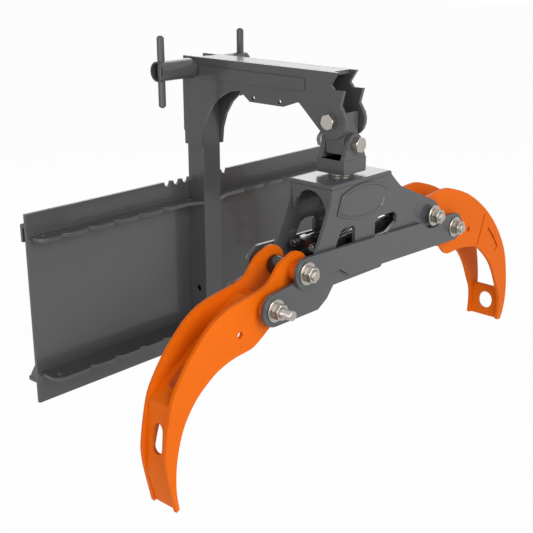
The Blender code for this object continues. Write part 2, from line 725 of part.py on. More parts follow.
def build_fork(pivot):
    """The fork below the cross link: its block with two ears, and its bolt."""
    half = FORK_SIZE / 2
    centre_y = -HEAD_Y
    top = FORK_BOTTOM + FORK_BLOCK_HEIGHT
    bore = circle((0, centre_y), NECK_PIN_RADIUS + PIVOT_PLAY, ROUND_STEPS)
    block = slab("fork_block", box_outline(-half, half, centre_y - half, centre_y + half),
                 [bore], FORK_BOTTOM, top, "XY", "grey_paint", pivot)
    base = top - FORK_EAR_SINK
    width = half - FORK_EAR_INSET
    outline = [(-width, base), (width, base), (width, top + FORK_EAR_INSET)]
    outline += arc((0, FORK_BOLT_Z), FORK_EAR_RADIUS, 0, 180, ARC_STEPS * 2)
    outline.append((-width, top + FORK_EAR_INSET))
    hole = circle((0, FORK_BOLT_Z), BOLT_RADIUS + GAP, ROUND_STEPS)
    for label, low in (("front", centre_y - half + FORK_EAR_INSET),
                       ("rear", centre_y + half - FORK_EAR_INSET - FORK_EAR_THICK)):
        ear = slab(f"{label}_ear_guide", outline, [hole], low, low + FORK_EAR_THICK, "XZ",
                   "grey_paint", pivot)
        join(block, ear)
    centre = (0, centre_y, FORK_BOLT_Z)
    seat = half - FORK_EAR_INSET + GAP
    tip = seat + WASHER_THICK + NUT_HEIGHT + BOLT_STUB / 2
    bolt("fork_bolt", centre, "Y", tip, -seat, "zinc", pivot)
    nut("fork_nut", centre, "Y", seat, 1, "zinc", pivot)


def head_outline():
    """The head's front and rear plates as (X, Z)."""
    half = HEAD_WIDTH / 2
    top = HEAD_TOP - HEAD_PLATE - GAP
    radius = HEAD_ARM_RADIUS
    relief = TONG_BOSS_RADIUS * LINK_RELIEF_SHARE
    points = [(half, top)]
    points += [(half * u, HEAD_TOP - radius * v) for u, v in HEAD_SHOULDER_SHARES]
    points += arc(RIGHT_HINGE, radius, 66, -100, ARC_STEPS * 2)
    points.append((half, RIGHT_HINGE[1] - radius * HEAD_WAIST_SHARE))
    points += [(half * u, HEAD_BOTTOM + radius * v)
               for u, v in HEAD_RIGHT_FOOT_SHARES + HEAD_LEFT_FOOT_SHARES]
    points.append((-half * HEAD_HEEL_SHARE, LEFT_HINGE[1] - radius))
    points += arc(LEFT_HINGE, radius, -90, -270, ARC_STEPS * 2)
    points += arc(LEFT_LINK, relief, -140, -5, ARC_STEPS)
    points += [(half * u, HEAD_TOP - radius * v) for u, v in HEAD_NECK_SHARES]
    points.append((-half, top))
    return points


def window_outline(u_shares, low_shares):
    """A head window between the two window levels, from shares of the width."""
    half = HEAD_WIDTH / 2
    tall = WINDOW_TOP - WINDOW_BOTTOM
    return [(half * u, WINDOW_BOTTOM + tall * v) for u, v in zip(u_shares, low_shares)]


def build_head(pivot):
    """The swivelling head: plates, flanges, neck, pad and tong bolts."""
    half = HEAD_WIDTH / 2
    outline = head_outline()
    left_window_u_shares = (-0.88, -0.22, -0.22, -0.30, -0.55, -0.70)
    left_window_v_shares = (0.0, 0.0, 0.80, 0.96, 1.0, 0.84)
    right_window_u_shares = (0.46, 0.90, 1.22, 1.24, 1.12, 0.62, 0.46)
    right_window_v_shares = (0.0, 0.0, 0.40, 0.75, 1.0, 1.0, 0.80)
    windows = [window_outline(left_window_u_shares, left_window_v_shares),
               window_outline(right_window_u_shares, right_window_v_shares)]
    holes = [circle(LEFT_HINGE, BOLT_RADIUS + GAP, ROUND_STEPS),
             circle(RIGHT_HINGE, TONG_BOSS_RADIUS - WELD_LAP, ROUND_STEPS)]
    front = slab("head_front_plate", outline, holes + windows, HEAD_FRONT,
                 HEAD_FRONT + HEAD_PLATE, "XZ", "grey_paint", pivot)
    rear = slab("head_rear_plate", outline, holes + windows, HEAD_REAR - HEAD_PLATE,
                HEAD_REAR, "XZ", "grey_paint", pivot)
    outer = HEAD_DEPTH / 2 + BAR_STACK
    inner = HEAD_DEPTH / 2 - HEAD_PLATE - WELD_LAP
    right = (RIGHT_HINGE[0], -HEAD_Y, RIGHT_HINGE[1])
    weld_boss(front, "head_front_boss", right, BOLT_RADIUS + GAP, -outer, -inner, pivot)
    weld_boss(rear, "head_rear_boss", right, BOLT_RADIUS + GAP, inner, outer, pivot)
    bore = circle((0, -HEAD_Y), NECK_PIN_RADIUS + GAP, ROUND_STEPS)
    slab("head_top_plate", box_outline(-half, half, HEAD_FRONT, HEAD_REAR), [bore],
         HEAD_TOP - HEAD_PLATE, HEAD_TOP, "XY", "grey_paint", pivot)
    build_flanges(pivot)
    pad = []
    for side in (1, -1):
        for i in range(ARC_STEPS * 2):
            t = -1 + i / ARC_STEPS
            pad.append((-side * t * PAD_WIDTH / 2,
                        PAD_Z + side * PAD_HEIGHT / 2 * (1 - PAD_BOW_SHARE * t * t)))
    slab("name_pad", pad, [], HEAD_FRONT - PAD_THICK - GAP, HEAD_FRONT - GAP, "XZ",
         "grey_paint", pivot)
    neck_low = HEAD_TOP + GAP
    neck_high = FORK_BOTTOM - GAP
    turned("swivel_neck", [tube_profile(NECK_RADIUS, NECK_PIN_RADIUS + GAP, neck_low, neck_high)],
           (0, -HEAD_Y, 0), "Z", "zinc", pivot)
    pin_low = HEAD_TOP - HEAD_PLATE - GAP - KEEPER_THICK
    block_top = FORK_BOTTOM + FORK_BLOCK_HEIGHT
    profile = [(0, pin_low), (KEEPER_RADIUS, pin_low),
               (KEEPER_RADIUS, pin_low + KEEPER_THICK),
               (NECK_PIN_RADIUS, pin_low + KEEPER_THICK),
               (NECK_PIN_RADIUS, block_top - GAP), (0, block_top - GAP)]
    turned("swivel_pin", [profile], (0, -HEAD_Y, 0), "Z", "zinc", pivot)


def build_flanges(pivot):
    """The arched flanges that close the head's two ends."""
    low = HEAD_FRONT + HEAD_PLATE + GAP
    high = HEAD_REAR - HEAD_PLATE - GAP
    foot = HEAD_TOP - HEAD_FLANGE_DROP
    top = HEAD_TOP - HEAD_PLATE - GAP
    rise = top - HEAD_PLATE - foot
    span = (high - low) / 2 - HEAD_PLATE
    flange = [(low, top), (low, foot)]
    for i in range(ARC_STEPS * 2 + 1):
        turn = math.pi * i / (ARC_STEPS * 2)
        flange.append((-HEAD_Y - span * math.cos(turn), foot + rise * math.sin(turn)))
    flange += [(high, foot), (high, top)]
    reach = HEAD_WIDTH / 2 - GAP
    for side_name, side in (("left", -1), ("right", 1)):
        inner, outer = sorted((side * reach, side * (reach - HEAD_PLATE)))
        slab(f"head_flange_{side_name}", flange, [], inner, outer, "YZ", "grey_paint", pivot)


def build_head_bolts(pivot):
    """The two tong bolts, each with its nut."""
    left = (LEFT_HINGE[0], -HEAD_Y, LEFT_HINGE[1])
    right = (RIGHT_HINGE[0], -HEAD_Y, RIGHT_HINGE[1])
    for name, centre, offset, stub in (("left_tong", left, 0, LONG_STUB),
                                       ("right_tong", right, BAR_STACK, BOLT_STUB)):
        seat = HEAD_DEPTH / 2 + offset + GAP
        tip = -seat - WASHER_THICK - NUT_HEIGHT - stub
        bolt(f"{name}_bolt", centre, "Y", tip, seat, "zinc", pivot)
        nut(f"{name}_nut", centre, "Y", -seat, -1, "zinc", pivot)


def weld_boss(plate, name, centre, bore, low, high, pivot):
    """Weld a short boss tube through a plate's hole."""
    guide = bmesh.new()
    add_turned(guide, tube_profile(TONG_BOSS_RADIUS, bore, low, high), centre, "Y")
    join(plate, finish(guide, f"{name}_guide", "grey_paint", pivot))


def tong_points(shares):
    """Turn shares of the reach and the drop into an outline's points."""
    return [(u * TONG_REACH, v * TONG_DROP) for u, v in shares]


def tong_outline(name):
    """A tong side plate about its lower pivot, as (X, Z), for the left tong."""
    shape = TONG_SHAPES[name]
    lug = (LEFT_LINK[0] - LEFT_HINGE[0], LEFT_LINK[1] - LEFT_HINGE[1])
    points = arc(lug, TONG_LUG_RADIUS, -55, shape["lug_end"], ARC_STEPS * 2)
    points += curve_through([points[-1]] + tong_points(shape["back"]))[1:]
    points += curve_through(tong_points(shape["front"]))
    if name == "left_tong":
        points += arc((0, 0), TONG_HUB_RADIUS, -80, -52, 2)
    return points


def tong_map(left):
    """The map from the left tong's outline frame to this tong's place."""
    if left:
        return lambda u, v: (LEFT_HINGE[0] + u, LEFT_HINGE[1] + v)
    own = math.atan2(LEFT_LINK[1] - LEFT_HINGE[1], LEFT_HINGE[0] - LEFT_LINK[0])
    here = math.atan2(RIGHT_HINGE[1] - RIGHT_LINK[1], RIGHT_HINGE[0] - RIGHT_LINK[0])
    turn = here - own
    cosine, sine = math.cos(turn), math.sin(turn)
    return lambda u, v: (RIGHT_LINK[0] - u * cosine - v * sine,
                         RIGHT_LINK[1] - u * sine + v * cosine)


def bent_strip(points, thick):
    """Outline of a plate bent along a path, with its thickness on one side."""
    path = [Vector(point) for point in points]
    sides = []
    for start, end in zip(path, path[1:]):
        way = (end - start).normalized()
        sides.append(Vector((-way.y, way.x)))
    inner = [path[0] + sides[0] * thick]
    for before, after, corner in zip(sides, sides[1:], path[1:]):
        inner.append(corner + (before + after) * (thick / (1 + before.dot(after))))
    inner.append(path[-1] + sides[-1] * thick)
    return [tuple(point) for point in path + inner[::-1]]


def cross_plate(name, path, windows, size, reach, place, pivot):
    """A plate bent along a path between a tong's side plates, with windows."""
    outline = [place(u, v) for u, v in bent_strip(path, TONG_WEB)]
    plate = slab(name, outline, [], -HEAD_Y - reach, -HEAD_Y + reach, "XZ", "orange_paint",
                 pivot)
    for number, share in windows:
        first = Vector(place(*path[number]))
        last = Vector(place(*path[number + 1]))
        middle = first.lerp(last, share)
        along = (last - first).normalized()
        guide = bmesh.new()
        add_slab(guide, slot((0, 0), *size, 90), [], -2 * TONG_WEB, 2 * TONG_WEB, "XY")
        across = Vector((0, 1, 0))
        upward = Vector((along.x, 0, along.y))
        turn = Matrix((across, upward, across.cross(upward))).transposed().to_4x4()
        shift = Matrix.Translation(Vector((middle.x, -HEAD_Y, middle.y)))
        bmesh.ops.transform(guide, matrix=shift @ turn, verts=guide.verts)
        cut(plate, finish(guide, f"{name}_cutter_{number}", "orange_paint", pivot))


def build_tong(name, depth, pivot):
    """One tong: its two side plates and the cross plates between them."""
    left = name == "left_tong"
    shape = TONG_SHAPES[name]
    place = tong_map(left)
    outline = [place(u, v) for u, v in tong_outline(name)]
    hub = place(0, 0)
    lug = place(LEFT_LINK[0] - LEFT_HINGE[0], LEFT_LINK[1] - LEFT_HINGE[1])
    hole = place(*tong_points([shape["hole"]])[0])
    hub_radius = TONG_TUBE_RADIUS if left else TONG_BOSS_RADIUS
    lug_radius = TONG_BOSS_RADIUS - WELD_LAP if left else BOLT_RADIUS + PIVOT_PLAY
    bores = [circle(hub, hub_radius + GAP, ROUND_STEPS),
             circle(lug, lug_radius, ROUND_STEPS), circle(hole, TONG_HOLE_RADIUS)]
    for path in shape["tab_slots"]:
        ribbon = bent_strip(tong_points(path), TAB_SLOT_WIDTH)
        bores.append([place(u, v) for u, v in ribbon])
    near = -HEAD_Y - depth / 2
    far = -HEAD_Y + depth / 2
    front = slab(f"{name}_front_plate", outline, bores, near, near + TONG_PLATE, "XZ",
                 "orange_paint", pivot)
    rear = slab(f"{name}_rear_plate", outline, bores, far - TONG_PLATE, far, "XZ",
                "orange_paint", pivot)
    reach = depth / 2 - TONG_PLATE - GAP
    cross_plate(f"{name}_web", tong_points(shape["web"]), shape["windows"],
                (WEB_WINDOW_WIDTH, WEB_WINDOW_LENGTH), reach, place, pivot)
    if "toe" in shape:
        cross_plate(f"{name}_toe", tong_points(shape["toe"]), ((0, 0.5),),
                    (TOE_WINDOW_WIDTH, TOE_WINDOW_LENGTH), reach, place, pivot)
    return hub, lug, front, rear


def build_tongs(left_pivot, right_pivot):
    """Both tongs, with the tube and bosses that each pivot needs."""
    hub, lug, front, rear = build_tong("left_tong", LEFT_TONG_DEPTH, left_pivot)
    play = BOLT_RADIUS + PIVOT_PLAY
    seat = HEAD_DEPTH / 2 - HEAD_PLATE - GAP
    reach = HEAD_DEPTH / 2 + LINK_BAR_PLAY - GAP
    turned("left_tong_hub_tube", [tube_profile(TONG_TUBE_RADIUS, play, -seat, seat)],
           (hub[0], -HEAD_Y, hub[1]), "Y", "orange_paint", left_pivot)
    inside = LEFT_TONG_DEPTH / 2 - TONG_PLATE - WELD_LAP
    spot = (lug[0], -HEAD_Y, lug[1])
    weld_boss(front, "left_tong_front_boss", spot, play, -reach, -inside, left_pivot)
    weld_boss(rear, "left_tong_rear_boss", spot, play, inside, reach, left_pivot)
    hub = build_tong("right_tong", RIGHT_TONG_DEPTH, right_pivot)[0]
    centre = (hub[0], -HEAD_Y, hub[1])
    turned("right_tong_link_tube",
           [tube_profile(TONG_BOSS_RADIUS, BOLT_RADIUS + GAP, -reach, reach)], centre, "Y",
           "orange_paint", right_pivot)
    seat = HEAD_DEPTH / 2 + BAR_STACK
    tip = -seat - WASHER_THICK - NUT_HEIGHT - BOLT_STUB
    bolt("right_link_bolt", centre, "Y", tip, seat, "zinc", right_pivot)
    nut("right_link_nut", centre, "Y", -seat, -1, "zinc", right_pivot)


def link_bar_outline():
    """A link bar from the left link pin to the right one, notched twice."""
    start = Vector(LEFT_LINK)
    end = Vector(RIGHT_LINK)
    way = (end - start).normalized()
    side = Vector((-way.y, way.x))
    length = (end - start).length
    half = LINK_BAR_HALF
    tilt = math.degrees(math.atan2(way.y, way.x))

    def place(share, offset):
        point = start + way * length * share + side * offset
        return (point.x, point.y)

    deep = half - LINK_NOTCH_DEPTH
    first, floor_start, floor_end, last = LINK_NOTCH_SHARES
    points = arc(end, half, tilt - 90, tilt + 90, ARC_STEPS * 2)
    points += [place(last, half), place(floor_end, deep), place(floor_start, deep),
               place(first, half)]
    points += arc(start, half, tilt + 90, tilt + 270, ARC_STEPS * 2)
    points += [place(1 - last, -half), place(1 - floor_end, -deep),
               place(1 - floor_start, -deep), place(1 - first, -half)]
    return points


def build_link_bars(pivot):
    """The link bars with the fasteners of the open pivot at the left tong."""
    outline = link_bar_outline()
    bores = [circle(LEFT_LINK, BOLT_RADIUS + GAP, ROUND_STEPS),
             circle(RIGHT_LINK, BOLT_RADIUS + PIVOT_PLAY, ROUND_STEPS)]
    slab("link_bar_front", outline, bores, BAR_FRONT_LOW, BAR_FRONT_HIGH, "XZ", "grey_paint",
         pivot)
    slab("link_bar_rear", outline, bores, BAR_REAR_LOW, BAR_REAR_HIGH, "XZ", "grey_paint",
         pivot)
    centre = (LEFT_LINK[0], -HEAD_Y, LEFT_LINK[1])
    inner = HEAD_DEPTH / 2 + LINK_BAR_PLAY
    seat = inner + LINK_BAR_THICK + GAP
    tip = -seat - WASHER_THICK - NUT_HEIGHT - BOLT_STUB
    bolt("left_link_bolt_head", centre, "Y", inner, seat, "zinc", pivot)
    nut("left_link_nut", centre, "Y", -seat, -1, "zinc", pivot)
    turned("left_link_bolt_end", [rod_profile(BOLT_RADIUS, tip, -inner, BOLT_RADIUS / 8)],
           centre, "Y", "zinc", pivot)


def build_cylinder(barrel_pivot, rod_pivot):
    """The tie-rod cylinder from the left tong's link pin to the right bolt."""
    start = Vector((LEFT_LINK[0], -HEAD_Y, LEFT_LINK[1]))
    end = Vector((RIGHT_HINGE[0], -HEAD_Y, RIGHT_HINGE[1]))
    way = (end - start).normalized()
    span = (end - start).length
    cap = CYLINDER_CAP / 2
    corner = CYLINDER_CORNER
    square = []
    for number, (u, v) in enumerate(((1, 1), (-1, 1), (-1, -1), (1, -1))):
        square += arc((u * (cap - corner), v * (cap - corner)), corner, 90 * number,
                      90 * number + 90, 2)
    tie_places = [(u * TIE_ROD_SPACING / 2, v * TIE_ROD_SPACING / 2)
                  for u in (-1, 1) for v in (-1, 1)]
    tie_holes = [circle(spot, TIE_ROD_RADIUS + GAP, TIE_STEPS) for spot in tie_places]
    rod_hole = circle((0, 0), ROD_RADIUS + PIVOT_PLAY, ROUND_STEPS)
    base = CYLINDER_START
    tube_start = base + CYLINDER_CAP_LENGTH + GAP
    gland_start = base + CYLINDER_LENGTH - CYLINDER_CAP_LENGTH
    tube_end = gland_start - GAP

    def stand(bm):
        """Turn a body built along +Z onto the cylinder's line."""
        turn = Vector((0, 0, 1)).rotation_difference(way).to_matrix().to_4x4()
        bmesh.ops.transform(bm, matrix=Matrix.Translation(start) @ turn, verts=bm.verts)

    caps = bmesh.new()
    add_slab(caps, square, tie_holes, base, base + CYLINDER_CAP_LENGTH, "XY")
    stand(caps)
    cap_item = finish(caps, "cylinder_base_cap", "black_paint", barrel_pivot)
    eye = bmesh.new()
    eye_profile = tube_profile(EYE_RADIUS, BOLT_RADIUS + PIVOT_PLAY, -EYE_WIDTH / 2,
                               EYE_WIDTH / 2)
    add_turned(eye, eye_profile, start, "Y")
    neck = bmesh.new()
    neck_start = (EYE_RADIUS + BOLT_RADIUS) / 2
    add_turned(neck, rod_profile(EYE_NECK_RADIUS, neck_start, base + WELD_LAP), start, way,
               SMALL_STEPS)
    join(cap_item, finish(neck, "base_neck_guide", "black_paint", barrel_pivot))
    join(cap_item, finish(eye, "base_eye_guide", "black_paint", barrel_pivot))
    gland = bmesh.new()
    add_slab(gland, square, tie_holes + [rod_hole], gland_start, base + CYLINDER_LENGTH, "XY")
    stand(gland)
    finish(gland, "cylinder_gland_cap", "black_paint", barrel_pivot)
    turned("cylinder_tube",
           [tube_profile(CYLINDER_BORE_RADIUS + CYLINDER_WALL, CYLINDER_BORE_RADIUS,
                         tube_start, tube_end)], start, way, "black_paint", barrel_pivot)
    wide = TIE_ROD_RADIUS * TIE_NUT_SHARE
    near = base - GAP
    far = base + CYLINDER_LENGTH + GAP
    for number, (u, v) in enumerate(tie_places):
        tie = bmesh.new()
        profile = [(0, near - TIE_NUT_LENGTH), (wide, near - TIE_NUT_LENGTH), (wide, near),
                   (TIE_ROD_RADIUS, near), (TIE_ROD_RADIUS, far), (wide, far),
                   (wide, far + TIE_NUT_LENGTH), (0, far + TIE_NUT_LENGTH)]
        add_turned(tie, profile, (u, v, 0), "Z", TIE_STEPS)
        stand(tie)
        finish(tie, f"cylinder_tie_rod_{number + 1}", "chrome", barrel_pivot)
    turned("left_link_pin", [rod_profile(BOLT_RADIUS, -EYE_WIDTH / 2, EYE_WIDTH / 2,
                                         BOLT_RADIUS / 8)], start, "Y", "zinc", barrel_pivot)
    rod_eye = bmesh.new()
    add_turned(rod_eye, eye_profile, end, "Y")
    rod_item = finish(rod_eye, "cylinder_rod", "chrome", rod_pivot)
    shank = bmesh.new()
    reach = span - neck_start
    piston_start = tube_start + OVERRUN
    piston_end = piston_start + PISTON_LENGTH
    piston_radius = CYLINDER_BORE_RADIUS - PIVOT_PLAY
    profile = [(0, piston_start), (piston_radius, piston_start), (piston_radius, piston_end),
               (ROD_RADIUS, piston_end), (ROD_RADIUS, reach), (0, reach)]
    add_turned(shank, profile, start, way, ROUND_STEPS)
    join(rod_item, finish(shank, "rod_shank_guide", "chrome", rod_pivot))


def join(target, tool):
    """Weld one object to another with a Boolean union."""
    tool.hide_render = True
    tool.display_type = "WIRE"
    modifier = target.modifiers.new("weld", "BOOLEAN")
    modifier.operation = "UNION"
    modifier.solver = "EXACT"
    modifier.object = tool


def main():
    """Build the whole grapple in its open pose."""
    clear_objects()
    slot_y = PLATE_THICK + GAP + LEDGE_DEPTH / 2
    root = make_pivot(ORIGIN_NAME, (0, -slot_y, -LEDGE_RISE))
    link_pivot = make_pivot("hanger_axis", (0, -HANGER_Y, HANGER_Z), root)
    fork_pivot = make_pivot("fork_axis", (0, -HANGER_Y, FORK_BOLT_Z), root)
    head_pivot = make_pivot("swivel_axis", (0, -HEAD_Y, HEAD_TOP), root)
    left_pivot = make_pivot("left_tong_axis", (LEFT_HINGE[0], -HEAD_Y, LEFT_HINGE[1]), root)
    right_pivot = make_pivot("right_tong_axis", (RIGHT_HINGE[0], -HEAD_Y, RIGHT_HINGE[1]), root)
    bar_pivot = make_pivot("link_bar_axis", (RIGHT_LINK[0], -HEAD_Y, RIGHT_LINK[1]), root)
    barrel_pivot = make_pivot("barrel_axis", (LEFT_LINK[0], -HEAD_Y, LEFT_LINK[1]), root)
    rod_pivot = make_pivot("rod_axis", (RIGHT_HINGE[0], -HEAD_Y, RIGHT_HINGE[1]), root)
    build_plate()
    build_ribs()
    build_mast()
    build_boom()
    build_pipe()
    build_hanger(link_pivot)
    build_fork(fork_pivot)
    build_head(head_pivot)
    build_head_bolts(head_pivot)
    build_tongs(left_pivot, right_pivot)
    build_link_bars(bar_pivot)
    build_cylinder(barrel_pivot, rod_pivot)


if __name__ == "__main__":
    main()
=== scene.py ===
"""Looks of the log grapple: finishes, fasteners, rolled edges and the stage."""
import json
import math

import bmesh
import bpy
from mathutils import Matrix, Vector


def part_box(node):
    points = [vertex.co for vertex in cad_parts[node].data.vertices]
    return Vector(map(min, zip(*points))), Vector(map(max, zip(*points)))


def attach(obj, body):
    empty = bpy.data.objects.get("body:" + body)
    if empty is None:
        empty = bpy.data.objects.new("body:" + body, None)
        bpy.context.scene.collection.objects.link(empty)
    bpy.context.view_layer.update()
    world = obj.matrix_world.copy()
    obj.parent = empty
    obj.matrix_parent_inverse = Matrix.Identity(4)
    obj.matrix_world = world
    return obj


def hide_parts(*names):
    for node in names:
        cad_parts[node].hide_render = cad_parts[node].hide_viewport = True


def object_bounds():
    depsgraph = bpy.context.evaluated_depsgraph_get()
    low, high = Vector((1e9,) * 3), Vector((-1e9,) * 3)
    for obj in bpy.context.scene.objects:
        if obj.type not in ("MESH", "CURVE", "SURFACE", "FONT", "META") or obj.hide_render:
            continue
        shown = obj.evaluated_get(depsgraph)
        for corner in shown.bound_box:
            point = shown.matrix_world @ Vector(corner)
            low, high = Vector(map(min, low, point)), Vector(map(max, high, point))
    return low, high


bl_info = {
    "name": "Log Grapple Looks",
    "version": (1, 0, 0),
    "blender": (4, 5, 0),
    "location": "View3D > Sidebar > Grapple",
    "description": "Dresses the log grapple's frame with its finishes and small parts",
    "category": "Object",
}

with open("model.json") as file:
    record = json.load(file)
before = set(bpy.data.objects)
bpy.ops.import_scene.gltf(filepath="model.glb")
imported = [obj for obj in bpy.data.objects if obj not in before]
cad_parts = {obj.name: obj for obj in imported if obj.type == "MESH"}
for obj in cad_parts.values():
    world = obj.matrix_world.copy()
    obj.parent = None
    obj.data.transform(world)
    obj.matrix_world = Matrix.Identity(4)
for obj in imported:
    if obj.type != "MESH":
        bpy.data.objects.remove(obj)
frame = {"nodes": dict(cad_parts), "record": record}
FRAME_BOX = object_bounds()

# Which body carries which node
BODY_OF = {node: body
           for body, nodes in frame["record"]["behaviour"]["bodies"].items()
           for node in nodes}

# Nodes that share a finish and a width of rolled edge
BASE_PLATES = ("mounting_plate", "top_hook_lip", "lock_ledge", "side_gusset_left",
               "side_gusset_right", "mast_back_plate")
RIBS = ("upper_rib_left", "upper_rib_right", "lower_rib_left", "lower_rib_right")
BOOM_PLATES = ("boom_side_left", "boom_side_right", "boom_top_plate")
PIPE_AND_BARS = ("cross_pipe", "hose_bar_left", "hose_bar_right")
HANGER_BLOCKS = ("cross_link_tube", "fork_block")
HEAD_PLATES = ("head_front_plate", "head_rear_plate", "head_flange_left",
               "head_flange_right")
SWIVEL = ("swivel_neck", "swivel_pin")
TONG_PLATES = ("left_tong_front_plate", "left_tong_rear_plate", "left_tong_web",
               "right_tong_web", "right_tong_toe")
SLOTTED_PLATES = ("right_tong_front_plate", "right_tong_rear_plate")
TONG_TUBES = ("left_tong_hub_tube", "right_tong_link_tube")
LINK_BARS = ("link_bar_front", "link_bar_rear")
CYLINDER_BLACK = ("cylinder_base_cap", "cylinder_gland_cap", "cylinder_tube")
TIE_RODS = ("cylinder_tie_rod_1", "cylinder_tie_rod_2", "cylinder_tie_rod_3",
            "cylinder_tie_rod_4")

# Bolt, nut, axis, washer under its head, short end, and its own head node
BOLTS = (("left_tong_bolt", "left_tong_nut", "Y", True, False, None),
         ("right_tong_bolt", "right_tong_nut", "Y", True, True, None),
         ("right_link_bolt", "right_link_nut", "Y", True, True, None),
         ("left_link_bolt_end", "left_link_nut", "Y", True, True, "left_link_bolt_head"),
         ("hanger_bolt", "hanger_nut", "X", False, True, None),
         ("fork_bolt", "fork_nut", "Y", False, True, None))

# Camera, solved from the plate's and boom's vanishing points
CAMERA_PLACE = (-1.9262, -2.0987, 1.1209)
CAMERA_AZIMUTH = -47.17
CAMERA_ELEVATION = 18.42
CAMERA_ROLL = -0.05
SENSOR = 36.0
PHOTO_SIZE = 533
FOCAL_PIXELS = 1000.0

# Lights: place from the middle of the grapple, and width
KEY_PLACE = (-0.9, -4.0, 2.0)
FILL_PLACE = (-3.6, -1.0, 0.1)
RIM_PLACE = (2.6, 2.6, 2.2)
KEY_WIDTH = 3.0
SIDE_WIDTH = 2.6

# Floor: its own grey, and how much of it shows as plain white to the camera
FLOOR_GREY = 0.92
FLOOR_ROUGH = 0.9
FLOOR_WHITE_SHARE = 0.97

# Meshes: merging, flatness and the angles of sharp edges
MERGE = 0.00001
FLAT_ANGLE = math.radians(0.5)
EDGE_ANGLE = math.radians(35.0)
SMOOTH_ANGLE = math.radians(40.0)
NORMAL_WEIGHT = 90
EDGE_SEGMENTS = 2
ROUND_SEGMENTS = 4

# Narrower rolled edges, as shares of a plate's or a tube's
FINE_SHARE = 0.5
THIN_SHARE = 0.25

# How far a wall's normal may point out of its plate, and the most walls that a tab
# slot has, which is fewer than a round hole's
WALL_TILT = 0.5
SLOT_WALLS = 10

# Boom strips: clear of their plate, with corners as a share of their height and
# rolled edges as a share of their thickness
STRIP_CLEAR = 0.00001
STRIP_CORNER_SHARE = 0.2
STRIP_ROLL_SHARE = 0.2

# How far the pad groove's walls lean, as a share of its width
GROOVE_WALL_SHARE = 0.25

# Sizes of the CAD's fasteners in millimetres, as shares of the two that are read
# from a node's box: the washer's radius, and the height of a nut with its washer
WASHER_RADIUS = 28.0
NUT_STACK = 23.0
FLATS_SHARE = 36.0 / WASHER_RADIUS
BOLT_SHARE = 12.0 / WASHER_RADIUS
HEAD_STACK_SHARE = 19.0 / WASHER_RADIUS
WASHER_SHARE = 4.0 / NUT_STACK

# Fastener details
NUT_STEPS = 48
WASHER_STEPS = 48
THREAD_STEPS = 32
THREAD_LEVELS = 6
HEX_CHAMFER = math.radians(30.0)
HEX_FACE_SHARE = 0.97
CHAMFER_STEPS = 3
WASHER_ROLL_SHARE = 0.2
TIP_CHAMFER = 0.001
BORE_PLAY = 1.02
BORE_MOUTH = 1.08

# Coats: roughness, clear coat, orange peel and shine
GREY_COAT = {"rough": 0.26, "coat": 0.28, "peel": 0.16, "shine": 0.3}
ORANGE_COAT = {"rough": 0.46, "coat": 0.02, "peel": 0.18, "shine": 0.1}
BLACK_COAT = {"rough": 0.16, "coat": 0.5, "peel": 0.10, "shine": 0.3}
COAT_ROUGH = 0.08

# Powder coat: cells per metre, shades of its clouds, and its dust
CLOUD_SCALE = 5.0
SPECK_SCALE = 900.0
PEEL_SCALE = 330.0
PEEL_DEPTH = 0.0002
CLOUD_DARK = 0.90
CLOUD_LIGHT = 1.10
CLOUD_ROUGH = 0.06
DUST_SHADE = 1.6
DUST_SHARE = 0.10
DUST_ROUGH = 0.03

# Zinc plate: warm dull patches and fine scratches
ZINC_ROUGH = 0.24
PATCH_SCALE = 60.0
PATCH_ROUGH = 0.12
PATCH_SHADE = 0.90
PATCH_WARMTH = (1.0, 0.97, 0.92)
SCRATCH_SCALE = 260.0
SCRATCH_STRETCH = (1.0, 14.0, 1.0)
SCRATCH_ROUGH = 0.06
SCRATCH_BUMP = 0.12
SCRATCH_DEPTH = 0.0001

# Hard chrome: faint marks round the rod, and smears
CHROME_ROUGH = 0.06
MARK_SCALE = 90.0
MARK_STRETCH = (30.0, 1.0, 1.0)
MARK_ROUGH = 0.06
MARK_BUMP = 0.05
MARK_DEPTH = 0.0001
SMEAR_SCALE = 18.0
SMEAR_ROUGH = 0.04
SMEAR_DARK = 0.95
SMEAR_LIGHT = 1.02

# Sockets of a Mix node that mixes colours
MIX_FACTOR, MIX_FIRST, MIX_SECOND, MIX_RESULT = 0, 6, 7, 2


class PaintSettings(bpy.types.PropertyGroup):
    """Colours of the grapple's finishes."""

    grey: bpy.props.FloatVectorProperty(
        name="Grey coat", description="Powder coat of the frame and head", subtype="COLOR",
        size=3, min=0.0, max=1.0, default=(0.062, 0.063, 0.066))
    orange: bpy.props.FloatVectorProperty(
        name="Orange coat", description="Powder coat of the tongs", subtype="COLOR",
        size=3, min=0.0, max=1.0, default=(0.665, 0.118, 0.002))
    black: bpy.props.FloatVectorProperty(
        name="Black paint", description="Paint of the cylinder", subtype="COLOR",
        size=3, min=0.0, max=1.0, default=(0.010, 0.010, 0.011))
    zinc: bpy.props.FloatVectorProperty(
        name="Zinc plate", description="Plating of bolts, nuts and washers", subtype="COLOR",
        size=3, min=0.0, max=1.0, default=(0.46, 0.44, 0.41))
    chrome: bpy.props.FloatVectorProperty(
        name="Hard chrome", description="Chrome of the rod and tie rods", subtype="COLOR",
        size=3, min=0.0, max=1.0, default=(0.82, 0.83, 0.85))


